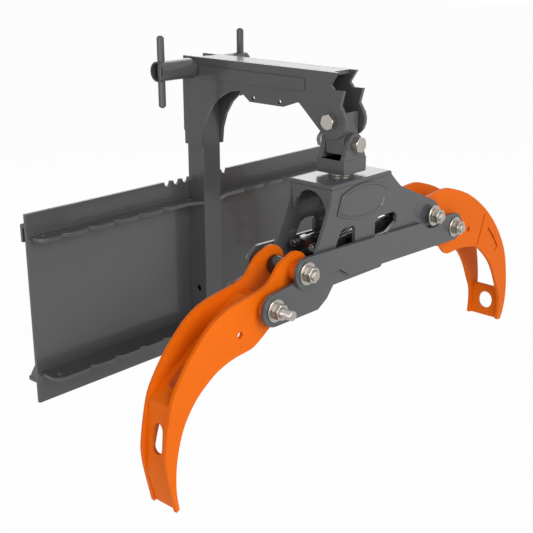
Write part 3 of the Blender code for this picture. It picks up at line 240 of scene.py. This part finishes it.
class DetailSettings(bpy.types.PropertyGroup):
    """Sizes of the small forms that dress the frame."""

    plate_edge: bpy.props.FloatProperty(
        name="Plate edge", description="Rolled edge of the cut plates", unit="LENGTH",
        default=0.0012)
    tube_edge: bpy.props.FloatProperty(
        name="Tube edge", description="Rolled edge of the square tubes", unit="LENGTH",
        default=0.0025)
    pad_edge: bpy.props.FloatProperty(
        name="Pad edge", description="Rolled edge of the bare name pad", unit="LENGTH",
        default=0.0015)
    fold_edge: bpy.props.FloatProperty(
        name="Fold edge", description="Round fold of the head's top plate", unit="LENGTH",
        default=0.006)
    pad_rim: bpy.props.FloatProperty(
        name="Pad rim", description="Rim left outside the pad's groove", unit="LENGTH",
        default=0.003)
    pad_groove: bpy.props.FloatProperty(
        name="Pad groove", description="Width and depth of the pad's groove", unit="LENGTH",
        default=0.0025)
    strip_start: bpy.props.FloatProperty(
        name="Strip start", description="Boom's back end to its side strip", unit="LENGTH",
        default=0.067)
    strip_length: bpy.props.FloatProperty(
        name="Strip length", description="Length of the boom's side strip", unit="LENGTH",
        default=0.374)
    strip_drop: bpy.props.FloatProperty(
        name="Strip drop", description="Boom's top to its side strip", unit="LENGTH",
        default=0.022)
    strip_height: bpy.props.FloatProperty(
        name="Strip height", description="Height of the boom's side strip", unit="LENGTH",
        default=0.032)
    strip_thick: bpy.props.FloatProperty(
        name="Strip thickness", description="How far the side strip stands out",
        unit="LENGTH", default=0.004)
    slot_extra: bpy.props.FloatProperty(
        name="Slot extra", description="How much wider the tab slots are than the cut",
        unit="LENGTH", default=0.0024)
    short_stub: bpy.props.FloatProperty(
        name="Short stub", description="Thread past the nut of a short bolt",
        unit="LENGTH", default=0.007)
    thread_pitch: bpy.props.FloatProperty(
        name="Thread pitch", description="Pitch of the bolt threads", unit="LENGTH",
        default=0.003)
    thread_depth: bpy.props.FloatProperty(
        name="Thread depth", description="Depth of the bolt threads", unit="LENGTH",
        default=0.0009)
    washer_gap: bpy.props.FloatProperty(
        name="Washer gap", description="Step between a washer and its nut", unit="LENGTH",
        default=0.0002)


class StageSettings(bpy.types.PropertyGroup):
    """Floor and lights."""

    floor_drop: bpy.props.FloatProperty(
        name="Floor drop", description="Distance from the lowest point to the floor",
        unit="LENGTH", default=0.35)
    floor_size: bpy.props.FloatProperty(
        name="Floor size", description="Width of the floor", unit="LENGTH", default=40.0)
    key_power: bpy.props.FloatProperty(
        name="Key power", description="Power of the large front light", unit="POWER",
        default=178.0)
    fill_power: bpy.props.FloatProperty(
        name="Fill power", description="Power of the left fill light", unit="POWER",
        default=52.0)
    rim_power: bpy.props.FloatProperty(
        name="Rim power", description="Power of the light behind the boom", unit="POWER",
        default=45.0)
    sky_strength: bpy.props.FloatProperty(
        name="Sky strength", description="Soft light from all round", subtype="FACTOR",
        default=0.24)


class Wire:
    """A shader socket that takes part in Python arithmetic."""

    def __init__(self, tree, socket):
        self.tree = tree
        self.socket = socket

    def maths(self, operation, first, second):
        """Add one Math node to two numbers or wires."""
        return add_node(self.tree, "ShaderNodeMath", {0: first, 1: second},
                        {"operation": operation})

    def __add__(self, other):
        return self.maths("ADD", self, other)

    __radd__ = __add__

    def __mul__(self, other):
        return self.maths("MULTIPLY", self, other)

    __rmul__ = __mul__

    def capped(self):
        """The value, held at 1 or less."""
        return self.maths("MINIMUM", self, 1.0)


def add_node(tree, kind, sockets, settings=None, output=0):
    """Add any node: its settings first, then its sockets' values or links."""
    node = tree.nodes.new(kind)
    for name, value in (settings or {}).items():
        setattr(node, name, value)
    for key, value in sockets.items():
        plug(node.inputs[key], value)
    return Wire(tree, node.outputs[output])


def plug(place, value):
    """Give a socket a link or a value."""
    if isinstance(value, Wire):
        value.tree.links.new(value.socket, place)
    else:
        place.default_value = value


def background_rays(tree):
    """1 for rays that show the background: seen straight, in a mirror or through glass."""
    path = add_node(tree, "ShaderNodeLightPath", {}).socket.node
    straight, mirrored, through = (Wire(tree, path.outputs[name]) for name in
                                   ("Is Camera Ray", "Is Glossy Ray", "Is Transmission Ray"))
    return (straight + mirrored + through).capped()


class Finish:
    """A Principled material that is built node by node."""

    def __init__(self, name, **fixed):
        self.material = bpy.data.materials.new(name)
        self.material.use_nodes = True
        self.tree = self.material.node_tree
        self.shader = self.tree.nodes["Principled BSDF"]
        for socket, value in fixed.items():
            self.shader.inputs[socket.replace("_", " ")].default_value = value

    def node(self, kind, sockets, settings=None, output=0):
        """Add any node to this material."""
        return add_node(self.tree, kind, sockets, settings, output)

    def place(self):
        """The point on the piece, in metres."""
        return self.node("ShaderNodeTexCoord", {}, output="Object")

    def noise(self, point, scale, detail=2.0):
        """Noise from 0 to 1 with its scale in cells per metre."""
        return self.node("ShaderNodeTexNoise",
                         {"Vector": point, "Scale": scale, "Detail": detail})

    def stretched(self, point, scale):
        """The point with each axis scaled by itself."""
        return self.node("ShaderNodeMapping", {"Vector": point, "Scale": scale})

    def blend(self, mask, first, second):
        """A colour between two colours."""
        sockets = {MIX_FACTOR: mask, MIX_FIRST: first, MIX_SECOND: second}
        return self.node("ShaderNodeMix", sockets, {"data_type": "RGBA"}, MIX_RESULT)

    def surface(self, colour, roughness, height, strength, depth):
        """Plug the changing colour, roughness and relief into the shader."""
        bump = self.node("ShaderNodeBump",
                         {"Strength": strength, "Distance": depth, "Height": height})
        plug(self.shader.inputs["Base Color"], colour)
        plug(self.shader.inputs["Roughness"], roughness)
        plug(self.shader.inputs["Normal"], bump)
        return self.material


def shade(colour, factor):
    """A colour made darker or lighter, with its alpha."""
    return tuple(min(1.0, part * factor) for part in colour) + (1.0,)


def powder_coat(name, colour, rough, coat, peel, shine):
    """A powder coat: slight cloudiness, orange peel and fine dust."""
    finish = Finish(name, Coat_Weight=coat, Coat_Roughness=COAT_ROUGH,
                    Specular_IOR_Level=shine)
    point = finish.place()
    cloud = finish.noise(point, CLOUD_SCALE, detail=3.0)
    speck = finish.noise(point, SPECK_SCALE, detail=1.0)
    skin = finish.noise(point, PEEL_SCALE)
    tone = finish.blend(cloud, shade(colour, CLOUD_DARK), shade(colour, CLOUD_LIGHT))
    dusty = finish.blend(speck * DUST_SHARE, tone, shade(colour, DUST_SHADE))
    roughness = rough + cloud * CLOUD_ROUGH + speck * DUST_ROUGH
    return finish.surface(dusty, roughness, skin, peel, PEEL_DEPTH)


def zinc_plate(name, colour):
    """Zinc plate: warm patches, dull spots and fine scratches."""
    finish = Finish(name, Metallic=1.0)
    point = finish.place()
    patch = finish.noise(point, PATCH_SCALE, detail=3.0)
    scratch = finish.noise(finish.stretched(point, SCRATCH_STRETCH), SCRATCH_SCALE)
    warm = tuple(part * warmth for part, warmth in zip(colour, PATCH_WARMTH))
    tone = finish.blend(patch, shade(colour, 1.0), shade(warm, PATCH_SHADE))
    roughness = ZINC_ROUGH + patch * PATCH_ROUGH + scratch * SCRATCH_ROUGH
    return finish.surface(tone, roughness, scratch, SCRATCH_BUMP, SCRATCH_DEPTH)


def hard_chrome(name, colour):
    """Hard chrome: polished, with faint marks round the rod."""
    finish = Finish(name, Metallic=1.0)
    point = finish.place()
    marks = finish.noise(finish.stretched(point, MARK_STRETCH), MARK_SCALE)
    smear = finish.noise(point, SMEAR_SCALE)
    tone = finish.blend(smear, shade(colour, SMEAR_DARK), shade(colour, SMEAR_LIGHT))
    roughness = CHROME_ROUGH + marks * MARK_ROUGH + smear * SMEAR_ROUGH
    return finish.surface(tone, roughness, marks, MARK_BUMP, MARK_DEPTH)


# The recipe, colour and coat of each slot
FINISHES = {"grey_paint": (powder_coat, "grey", GREY_COAT),
            "orange_paint": (powder_coat, "orange", ORANGE_COAT),
            "black_paint": (powder_coat, "black", BLACK_COAT),
            "zinc": (zinc_plate, "zinc", {}),
            "chrome": (hard_chrome, "chrome", {})}


def finish_of(slot):
    """The material of a slot, which is made when it is first asked for."""
    name = f"grapple_{slot}"
    recipe, paint, coat = FINISHES[slot]
    colour = tuple(getattr(bpy.context.scene.grapple_paint, paint))
    return bpy.data.materials.get(name) or recipe(name, colour, **coat)


def dress(bm, name, slot, body, nodes=()):
    """Turn a bmesh into a piece with its finish, body and replaced nodes."""
    mesh = bpy.data.meshes.new(name)
    bm.to_mesh(mesh)
    bm.free()
    mesh.shade_smooth()
    mesh.set_sharp_from_angle(angle=SMOOTH_ANGLE)
    mesh.materials.append(finish_of(slot))
    piece = bpy.data.objects.new(name, mesh)
    bpy.context.scene.collection.objects.link(piece)
    weighted = piece.modifiers.new("weighted_normals", "WEIGHTED_NORMAL")
    weighted.keep_sharp = True
    weighted.weight = NORMAL_WEIGHT
    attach(piece, body)
    if nodes:
        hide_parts(*nodes)


def dress_node(bm, node, slot):
    """Put a piece in the place of the node that it was copied from."""
    dress(bm, f"{node}_finished", slot, BODY_OF[node], (node,))


def clean_copy(node):
    """A bmesh of a node with its flat faces whole again."""
    bm = bmesh.new()
    bm.from_mesh(frame["nodes"][node].data)
    bmesh.ops.remove_doubles(bm, verts=bm.verts, dist=MERGE)
    bmesh.ops.dissolve_limit(bm, angle_limit=FLAT_ANGLE, verts=bm.verts, edges=bm.edges,
                             delimit=set())
    return bm


def roll_edges(bm, width, segments=EDGE_SEGMENTS, above=None):
    """Roll the sharp edges of a body, or only those above a height."""
    sharp = [edge for edge in bm.edges
             if len(edge.link_faces) == 2 and edge.calc_face_angle(0.0) > EDGE_ANGLE
             and (above is None or min(vert.co.z for vert in edge.verts) > above)]
    bmesh.ops.bevel(bm, geom=sharp, offset=width, offset_type="OFFSET", segments=segments,
                    profile=0.5, affect="EDGES", clamp_overlap=True)
    bmesh.ops.remove_doubles(bm, verts=bm.verts, dist=MERGE)


def rolled(nodes, slot, width):
    """Replace nodes by copies whose edges are rolled."""
    for node in nodes:
        bm = clean_copy(node)
        roll_edges(bm, width)
        dress_node(bm, node, slot)


def wall_rings(bm):
    """The walls of a plate that lies across Y, one list for its outline and each hole."""
    walls = [face for face in bm.faces if abs(face.normal.y) < WALL_TILT]
    left = set(walls)
    rings = []
    for wall in walls:
        if wall not in left:
            continue
        left.remove(wall)
        found = [wall]
        for face in found:
            beside = {other for edge in face.edges for other in edge.link_faces} & left
            left -= beside
            found += sorted(beside, key=lambda other: other.index)
        rings.append(found)
    return rings


def widen_slots(bm, extra):
    """Set the walls of a plate's tab slots apart, and leave its round holes."""
    bm.normal_update()
    bm.faces.index_update()
    for walls in wall_rings(bm):
        if len(walls) > SLOT_WALLS:
            continue
        normals = {}
        for wall in walls:
            for vert in wall.verts:
                normals.setdefault(vert, []).append(wall.normal.copy())
        for vert, sides in normals.items():
            first, last = sides[0], sides[-1]
            vert.co -= (first + last) * (extra / 2 / (1 + first.dot(last)))


def slotted(nodes, slot, width):
    """Replace plates by copies with wider tab slots and rolled edges."""
    for node in nodes:
        bm = clean_copy(node)
        widen_slots(bm, bpy.context.scene.grapple_detail.slot_extra)
        roll_edges(bm, width)
        dress_node(bm, node, slot)


def folded_top(node, slot):
    """Replace the head's top plate by one with a round fold along its upper edges."""
    detail = bpy.context.scene.grapple_detail
    bm = clean_copy(node)
    low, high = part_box(node)
    roll_edges(bm, detail.fold_edge, segments=ROUND_SEGMENTS, above=(low.z + high.z) / 2)
    roll_edges(bm, detail.plate_edge)
    dress_node(bm, node, slot)


def grooved_pad(node, slot):
    """Replace the bare pad by one with a groove inside its rim."""
    detail = bpy.context.scene.grapple_detail
    bm = clean_copy(node)
    roll_edges(bm, detail.pad_edge)
    front = min(bm.faces, key=lambda face: face.normal.y * face.calc_area())
    wide = detail.pad_groove
    wall = wide * GROOVE_WALL_SHARE
    for inset, rise in ((detail.pad_rim, 0.0), (wall, -wide), (wide, 0.0), (wall, wide)):
        bmesh.ops.inset_region(bm, faces=[front], thickness=inset, depth=rise)
    dress_node(bm, node, slot)


def side_strip(node, sign, slot):
    """A raised strip on the outer face of one boom side plate."""
    detail = bpy.context.scene.grapple_detail
    low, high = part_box(node)
    thick, length, height = detail.strip_thick, detail.strip_length, detail.strip_height
    face = high.x if sign > 0 else low.x
    start = high.y - detail.strip_start
    top = high.z - detail.strip_drop
    middle = (face + sign * (thick / 2 + STRIP_CLEAR), start - length / 2, top - height / 2)
    bm = bmesh.new()
    bmesh.ops.create_cube(bm, size=1.0)
    bmesh.ops.scale(bm, vec=(thick, length, height), verts=bm.verts)
    bmesh.ops.translate(bm, vec=middle, verts=bm.verts)
    corners = [edge for edge in bm.edges
               if abs(edge.verts[0].co.x - edge.verts[1].co.x) > MERGE]
    bmesh.ops.bevel(bm, geom=corners, offset=height * STRIP_CORNER_SHARE,
                    offset_type="OFFSET", segments=ROUND_SEGMENTS, profile=0.5,
                    affect="EDGES")
    roll_edges(bm, thick * STRIP_ROLL_SHARE)
    dress(bm, f"{node}_strip", slot, BODY_OF[node])


def ring(steps, radius_at):
    """Points of a closed outline, from its radius at each angle."""
    points = []
    for i in range(steps):
        angle = 2 * math.pi * i / steps
        radius = radius_at(angle)
        points.append((radius * math.cos(angle), radius * math.sin(angle)))
    return points


def circle(steps, radius):
    """Points of a circle."""
    return ring(steps, lambda angle: radius)


def hexagon(flats, limit):
    """Points of a hexagon, cut back to a cone's radius at its corners."""
    def radius_at(angle):
        sixth = angle % (math.pi / 3) - math.pi / 6
        return min(flats / 2 / math.cos(sixth), limit)
    return ring(NUT_STEPS, radius_at)


def add_rings(bm, line, levels):
    """Bridge rings of (outline, distance along the line)."""
    centre, axis = line
    side = axis.orthogonal().normalized()
    across = axis.cross(side)
    rings = []
    for outline, along in levels:
        start = centre + axis * along
        rings.append([bm.verts.new(start + side * u + across * v) for u, v in outline])
    for first, second in zip(rings, rings[1:]):
        bridge(bm, first, second)
    return rings


def bridge(bm, first, second):
    """Faces between two rings."""
    for i in range(len(first)):
        bm.faces.new((first[i - 1], first[i], second[i], second[i - 1]))


def add_closed(bm, line, levels):
    """A body whose last ring meets its first one, such as a washer."""
    rings = add_rings(bm, line, levels)
    bridge(bm, rings[-1], rings[0])


def add_capped(bm, line, levels):
    """A body with a flat face on each end, such as a shank."""
    rings = add_rings(bm, line, levels)
    bm.faces.new(rings[0])
    bm.faces.new(rings[-1])


def add_washer(bm, line, sign, seat, size):
    """A flat washer with rolled rims, standing on its seat."""
    outer, inner, thick = size
    roll = thick * WASHER_ROLL_SHARE
    profile = [(inner, 0), (outer - roll, 0), (outer, roll), (outer, thick - roll),
               (outer - roll, thick), (inner + roll, thick), (inner, thick - roll)]
    add_closed(bm, line, [(circle(WASHER_STEPS, radius), seat + sign * along)
                          for radius, along in profile])


def chamfer_levels(flats):
    """Rings of a hexagon's chamfer as (cone's radius, depth below the face)."""
    corner = flats / math.sqrt(3)
    face = flats / 2 * HEX_FACE_SHARE
    drop = (corner - flats / 2) * math.tan(HEX_CHAMFER)
    shares = [i / CHAMFER_STEPS for i in range(CHAMFER_STEPS + 1)]
    return [(face + (corner - face) * share, drop * share) for share in shares]


def add_nut(bm, line, sign, seat, size):
    """A hex nut: chamfered both ways, with a chamfered bore."""
    flats, height, bore = size
    chamfer = chamfer_levels(flats)
    profile = chamfer + [(limit, height - along) for limit, along in reversed(chamfer)]
    levels = [(hexagon(flats, limit), seat + sign * along) for limit, along in profile]
    rim = bore * BORE_MOUTH
    top = seat + sign * height
    inner = circle(NUT_STEPS, bore)
    mouth = circle(NUT_STEPS, rim)
    lip = (rim - bore) * sign
    levels += [(mouth, top), (inner, top - lip), (inner, seat + lip), (mouth, seat)]
    add_closed(bm, line, levels)


def add_head(bm, line, sign, seat, size):
    """A hex bolt head with a flat, turned face."""
    flats, height = size
    corner = flats / math.sqrt(3)
    profile = [(corner, 0.0)]
    profile += [(limit, height - along) for limit, along in reversed(chamfer_levels(flats))]
    add_capped(bm, line, [(hexagon(flats, limit), seat + sign * along)
                          for limit, along in profile])


def add_thread(bm, line, sign, seat, size):
    """A bolt's threaded end, with its tip bevelled."""
    radius, length = size
    detail = bpy.context.scene.grapple_detail
    pitch = detail.thread_pitch
    depth = detail.thread_depth
    rows = max(2, int(length / pitch * THREAD_LEVELS))
    threaded = length - TIP_CHAMFER
    levels = []
    for row in range(rows + 1):
        along = threaded * row / rows

        def radius_at(angle, along=along):
            turn = (along / pitch + angle / (2 * math.pi)) % 1.0
            return radius - depth * abs(2 * turn - 1)

        levels.append((ring(THREAD_STEPS, radius_at), seat + sign * along))
    tip = circle(THREAD_STEPS, radius - depth - TIP_CHAMFER)
    levels.append((tip, seat + sign * length))
    add_capped(bm, line, levels)


def add_shank(bm, line, start, end, radius):
    """A plain round shank between two places on the line."""
    outline = circle(THREAD_STEPS, radius)
    add_capped(bm, line, [(outline, start), (outline, end)])


class BoltPlace:
    """A bolt's line, its places along that line and its washer, from its nodes' boxes."""

    def __init__(self, bolt, nut, way, head_node):
        index = "XYZ".index(way)
        across = (index + 1) % 3
        low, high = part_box(bolt)
        nut_low, nut_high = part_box(nut)
        head_low, head_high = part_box(head_node)
        centre = (low + high) / 2
        centre[index] = 0.0
        axis = Vector([1.0 if i == index else 0.0 for i in range(3)])
        self.line = (centre, axis)
        self.sign = 1 if (nut_low + nut_high)[index] > (head_low + head_high)[index] else -1
        self.near, self.far = (nut_low[index], nut_high[index])[::self.sign]
        self.base, self.tip = (low[index], high[index])[::self.sign]
        self.head_end = (head_low[index], head_high[index])[::self.sign][0]
        self.washer = (nut_high[across] - nut_low[across]) / 2


def zinc_piece(name, body, add, *facts, nodes=()):
    """Make one zinc plated piece of a bolt, with its skin facing outward."""
    bm = bmesh.new()
    add(bm, *facts)
    bmesh.ops.recalc_face_normals(bm, faces=bm.faces)
    dress(bm, name, "zinc", body, nodes)


def dress_bolt(bolt, nut, way, washer_below, short, head_node):
    """Washers, nut, threaded end and hex head in place of one bolt's nodes."""
    detail = bpy.context.scene.grapple_detail
    at = BoltPlace(bolt, nut, way, head_node or bolt)
    tip = at.far + at.sign * detail.short_stub if short else at.tip
    gap = detail.washer_gap
    thick = WASHER_SHARE * abs(at.far - at.near)
    flats = FLATS_SHARE * at.washer
    radius = BOLT_SHARE * at.washer
    bore = radius * BORE_PLAY
    washer = (at.washer, bore, thick)
    head_body = BODY_OF[head_node or bolt]

    seat = at.near + at.sign * (thick + gap)
    start = at.near + at.sign * thick / 2
    zinc_piece(f"{nut}_washer", BODY_OF[nut], add_washer, at.line, at.sign, at.near, washer)
    zinc_piece(f"{nut}_hex", BODY_OF[nut], add_nut, at.line, at.sign, seat,
               (flats, abs(at.far - seat), bore), nodes=(nut,))
    zinc_piece(f"{bolt}_thread", BODY_OF[bolt], add_thread, at.line, at.sign, start,
               (radius, abs(tip - start)))

    inner = at.head_end + at.sign * HEAD_STACK_SHARE * at.washer
    seat = inner
    if washer_below:
        zinc_piece(f"{bolt}_head_washer", head_body, add_washer, at.line, -at.sign, inner,
                   washer)
        seat = inner - at.sign * (thick + gap)
    zinc_piece(f"{bolt}_head", head_body, add_head, at.line, -at.sign, seat,
               (flats, abs(at.head_end - seat)))
    if head_node:
        zinc_piece(f"{bolt}_shank", head_body, add_shank, at.line, seat,
                   inner + at.sign * thick, radius, nodes=(head_node,))
        zinc_piece(f"{bolt}_plain", BODY_OF[bolt], add_shank, at.line, at.base, start, radius,
                   nodes=(bolt,))
    else:
        zinc_piece(f"{bolt}_shank", head_body, add_shank, at.line, seat, start, radius,
                   nodes=(bolt,))


def make_floor(height, size):
    """A plain pale floor that looks white to the camera and keeps its shadow."""
    bm = bmesh.new()
    bmesh.ops.create_grid(bm, x_segments=1, y_segments=1, size=size / 2)
    bmesh.ops.translate(bm, verts=bm.verts, vec=(0, 0, height))
    mesh = bpy.data.meshes.new("studio_floor")
    bm.to_mesh(mesh)
    bm.free()
    finish = Finish("studio_floor", Roughness=FLOOR_ROUGH,
                    Base_Color=(FLOOR_GREY, FLOOR_GREY, FLOOR_GREY, 1.0))
    grey = Wire(finish.tree, finish.shader.outputs[0])
    white = finish.node("ShaderNodeEmission", {"Strength": 1.0})
    share = background_rays(finish.tree) * FLOOR_WHITE_SHARE
    mix = finish.node("ShaderNodeMixShader", {0: share, 1: grey, 2: white})
    plug(finish.tree.nodes["Material Output"].inputs["Surface"], mix)
    mesh.materials.append(finish.material)
    floor = bpy.data.objects.new("studio_floor", mesh)
    bpy.context.scene.collection.objects.link(floor)


def make_world(scene, strength):
    """A soft white surround, which shows as plain white."""
    world = bpy.data.worlds.new("studio_world")
    scene.world = world
    world.use_nodes = True
    background = world.node_tree.nodes["Background"]
    background.inputs["Color"].default_value = (1.0, 1.0, 1.0, 1.0)
    level = background_rays(world.node_tree) * (1.0 - strength) + strength
    plug(background.inputs["Strength"], level)


def make_light(name, place, target, size, power):
    """A square soft light turned to the middle of the grapple."""
    data = bpy.data.lights.new(name, "AREA")
    data.shape = "SQUARE"
    data.size = size
    data.energy = power
    lamp = bpy.data.objects.new(name, data)
    lamp.location = place
    lamp.rotation_mode = "QUATERNION"
    lamp.rotation_quaternion = (target - place).to_track_quat("-Z", "Y")
    bpy.context.scene.collection.objects.link(lamp)


def make_camera(scene):
    """The camera at the photograph's place and angle."""
    azimuth, elevation, roll = (math.radians(angle) for angle in
                                (CAMERA_AZIMUTH, CAMERA_ELEVATION, CAMERA_ROLL))
    back = Vector((math.sin(azimuth) * math.cos(elevation),
                   -math.cos(azimuth) * math.cos(elevation), math.sin(elevation)))
    right = Vector((math.cos(azimuth), math.sin(azimuth), 0.0))
    up = back.cross(right)
    level = math.cos(roll) * right + math.sin(roll) * up
    upright = math.cos(roll) * up - math.sin(roll) * right
    data = bpy.data.cameras.new("photo_camera")
    data.sensor_width = SENSOR
    data.lens = SENSOR * FOCAL_PIXELS / PHOTO_SIZE
    camera = bpy.data.objects.new("photo_camera", data)
    turn = Matrix((level, upright, back)).transposed().to_4x4()
    camera.matrix_world = Matrix.Translation(Vector(CAMERA_PLACE)) @ turn
    scene.collection.objects.link(camera)
    scene.camera = camera


class GRAPPLE_OT_stage(bpy.types.Operator):
    """Set the pale floor, the soft lights and the camera."""

    bl_idname = "grapple.stage"
    bl_label = "Stage"

    def execute(self, context):
        settings = context.scene.grapple_stage
        low, high = FRAME_BOX
        middle = (low + high) / 2
        make_floor(low.z - settings.floor_drop, settings.floor_size)
        make_world(context.scene, settings.sky_strength)
        lights = (("key_light", KEY_PLACE, KEY_WIDTH, settings.key_power),
                  ("fill_light", FILL_PLACE, SIDE_WIDTH, settings.fill_power),
                  ("rim_light", RIM_PLACE, SIDE_WIDTH, settings.rim_power))
        for name, place, width, power in lights:
            make_light(name, middle + Vector(place), middle, width, power)
        make_camera(context.scene)
        context.scene.view_settings.view_transform = "Standard"
        return {"FINISHED"}


class GRAPPLE_OT_base(bpy.types.Operator):
    """Roll the edges of the quick-attach plate and of what is welded to it."""

    bl_idname = "grapple.base"
    bl_label = "Plate and ribs"

    def execute(self, context):
        edge = context.scene.grapple_detail.plate_edge
        rolled(BASE_PLATES + RIBS, "grey_paint", edge)
        return {"FINISHED"}


class GRAPPLE_OT_boom(bpy.types.Operator):
    """Roll the edges of the mast, boom, cross pipe and bars, and add the side strips."""

    bl_idname = "grapple.boom"
    bl_label = "Mast and boom"

    def execute(self, context):
        detail = context.scene.grapple_detail
        rolled(("mast_tube",), "grey_paint", detail.tube_edge)
        rolled(BOOM_PLATES, "grey_paint", detail.plate_edge)
        rolled(PIPE_AND_BARS, "grey_paint", detail.plate_edge * FINE_SHARE)
        side_strip("boom_side_left", -1, "grey_paint")
        side_strip("boom_side_right", 1, "grey_paint")
        return {"FINISHED"}


class GRAPPLE_OT_head(bpy.types.Operator):
    """Roll the edges of hanger, fork, head and swivel, and groove the bare pad."""

    bl_idname = "grapple.head"
    bl_label = "Hanger and head"

    def execute(self, context):
        detail = context.scene.grapple_detail
        rolled(HANGER_BLOCKS, "grey_paint", detail.tube_edge * FINE_SHARE)
        rolled(HEAD_PLATES, "grey_paint", detail.plate_edge)
        folded_top("head_top_plate", "grey_paint")
        grooved_pad("name_pad", "grey_paint")
        rolled(SWIVEL, "zinc", detail.plate_edge * FINE_SHARE)
        return {"FINISHED"}


class GRAPPLE_OT_tongs(bpy.types.Operator):
    """Roll the edges of both tongs and of the link bars, and widen the tab slots."""

    bl_idname = "grapple.tongs"
    bl_label = "Tongs and link bars"

    def execute(self, context):
        edge = context.scene.grapple_detail.plate_edge
        rolled(TONG_PLATES, "orange_paint", edge)
        slotted(SLOTTED_PLATES, "orange_paint", edge * FINE_SHARE)
        rolled(TONG_TUBES, "orange_paint", edge * FINE_SHARE)
        rolled(LINK_BARS, "grey_paint", edge)
        return {"FINISHED"}


class GRAPPLE_OT_cylinder(bpy.types.Operator):
    """Roll the edges of the cylinder, its rod, its tie rods and the link pin."""

    bl_idname = "grapple.cylinder"
    bl_label = "Cylinder"

    def execute(self, context):
        edge = context.scene.grapple_detail.plate_edge
        rolled(CYLINDER_BLACK, "black_paint", edge)
        rolled(("left_link_pin",), "black_paint", edge * FINE_SHARE)
        rolled(TIE_RODS, "chrome", edge * THIN_SHARE)
        rolled(("cylinder_rod",), "chrome", edge * FINE_SHARE)
        return {"FINISHED"}


class GRAPPLE_OT_fasteners(bpy.types.Operator):
    """Make the washers, hex nuts, threaded ends, shanks and bolt heads."""

    bl_idname = "grapple.fasteners"
    bl_label = "Fasteners"

    def execute(self, context):
        for bolt in BOLTS:
            dress_bolt(*bolt)
        return {"FINISHED"}


class GRAPPLE_PT_panel(bpy.types.Panel):
    """Lists the grapple's operators."""

    bl_label = "Log Grapple"
    bl_idname = "GRAPPLE_PT_panel"
    bl_space_type = "VIEW_3D"
    bl_region_type = "UI"
    bl_category = "Grapple"

    def draw(self, context):
        for operator in OPERATORS:
            self.layout.operator(operator.bl_idname)


OPERATORS = (GRAPPLE_OT_stage, GRAPPLE_OT_base, GRAPPLE_OT_boom, GRAPPLE_OT_head,
             GRAPPLE_OT_tongs, GRAPPLE_OT_cylinder, GRAPPLE_OT_fasteners)
SETTINGS = (("grapple_paint", PaintSettings), ("grapple_detail", DetailSettings),
            ("grapple_stage", StageSettings))


def register():
    """Register the classes and hang the settings on the scene."""
    for name, group in SETTINGS:
        bpy.utils.register_class(group)
        setattr(bpy.types.Scene, name, bpy.props.PointerProperty(type=group))
    for item in OPERATORS + (GRAPPLE_PT_panel,):
        bpy.utils.register_class(item)


def unregister():
    """Take the classes and the settings away again."""
    for item in reversed(OPERATORS + (GRAPPLE_PT_panel,)):
        bpy.utils.unregister_class(item)
    for name, group in reversed(SETTINGS):
        delattr(bpy.types.Scene, name)
        bpy.utils.unregister_class(group)


def main():
    """Dress the grapple."""
    register()
    for operator in OPERATORS:
        group, name = operator.bl_idname.split(".")
        getattr(getattr(bpy.ops, group), name)()


if __name__ == "__main__":
    main()
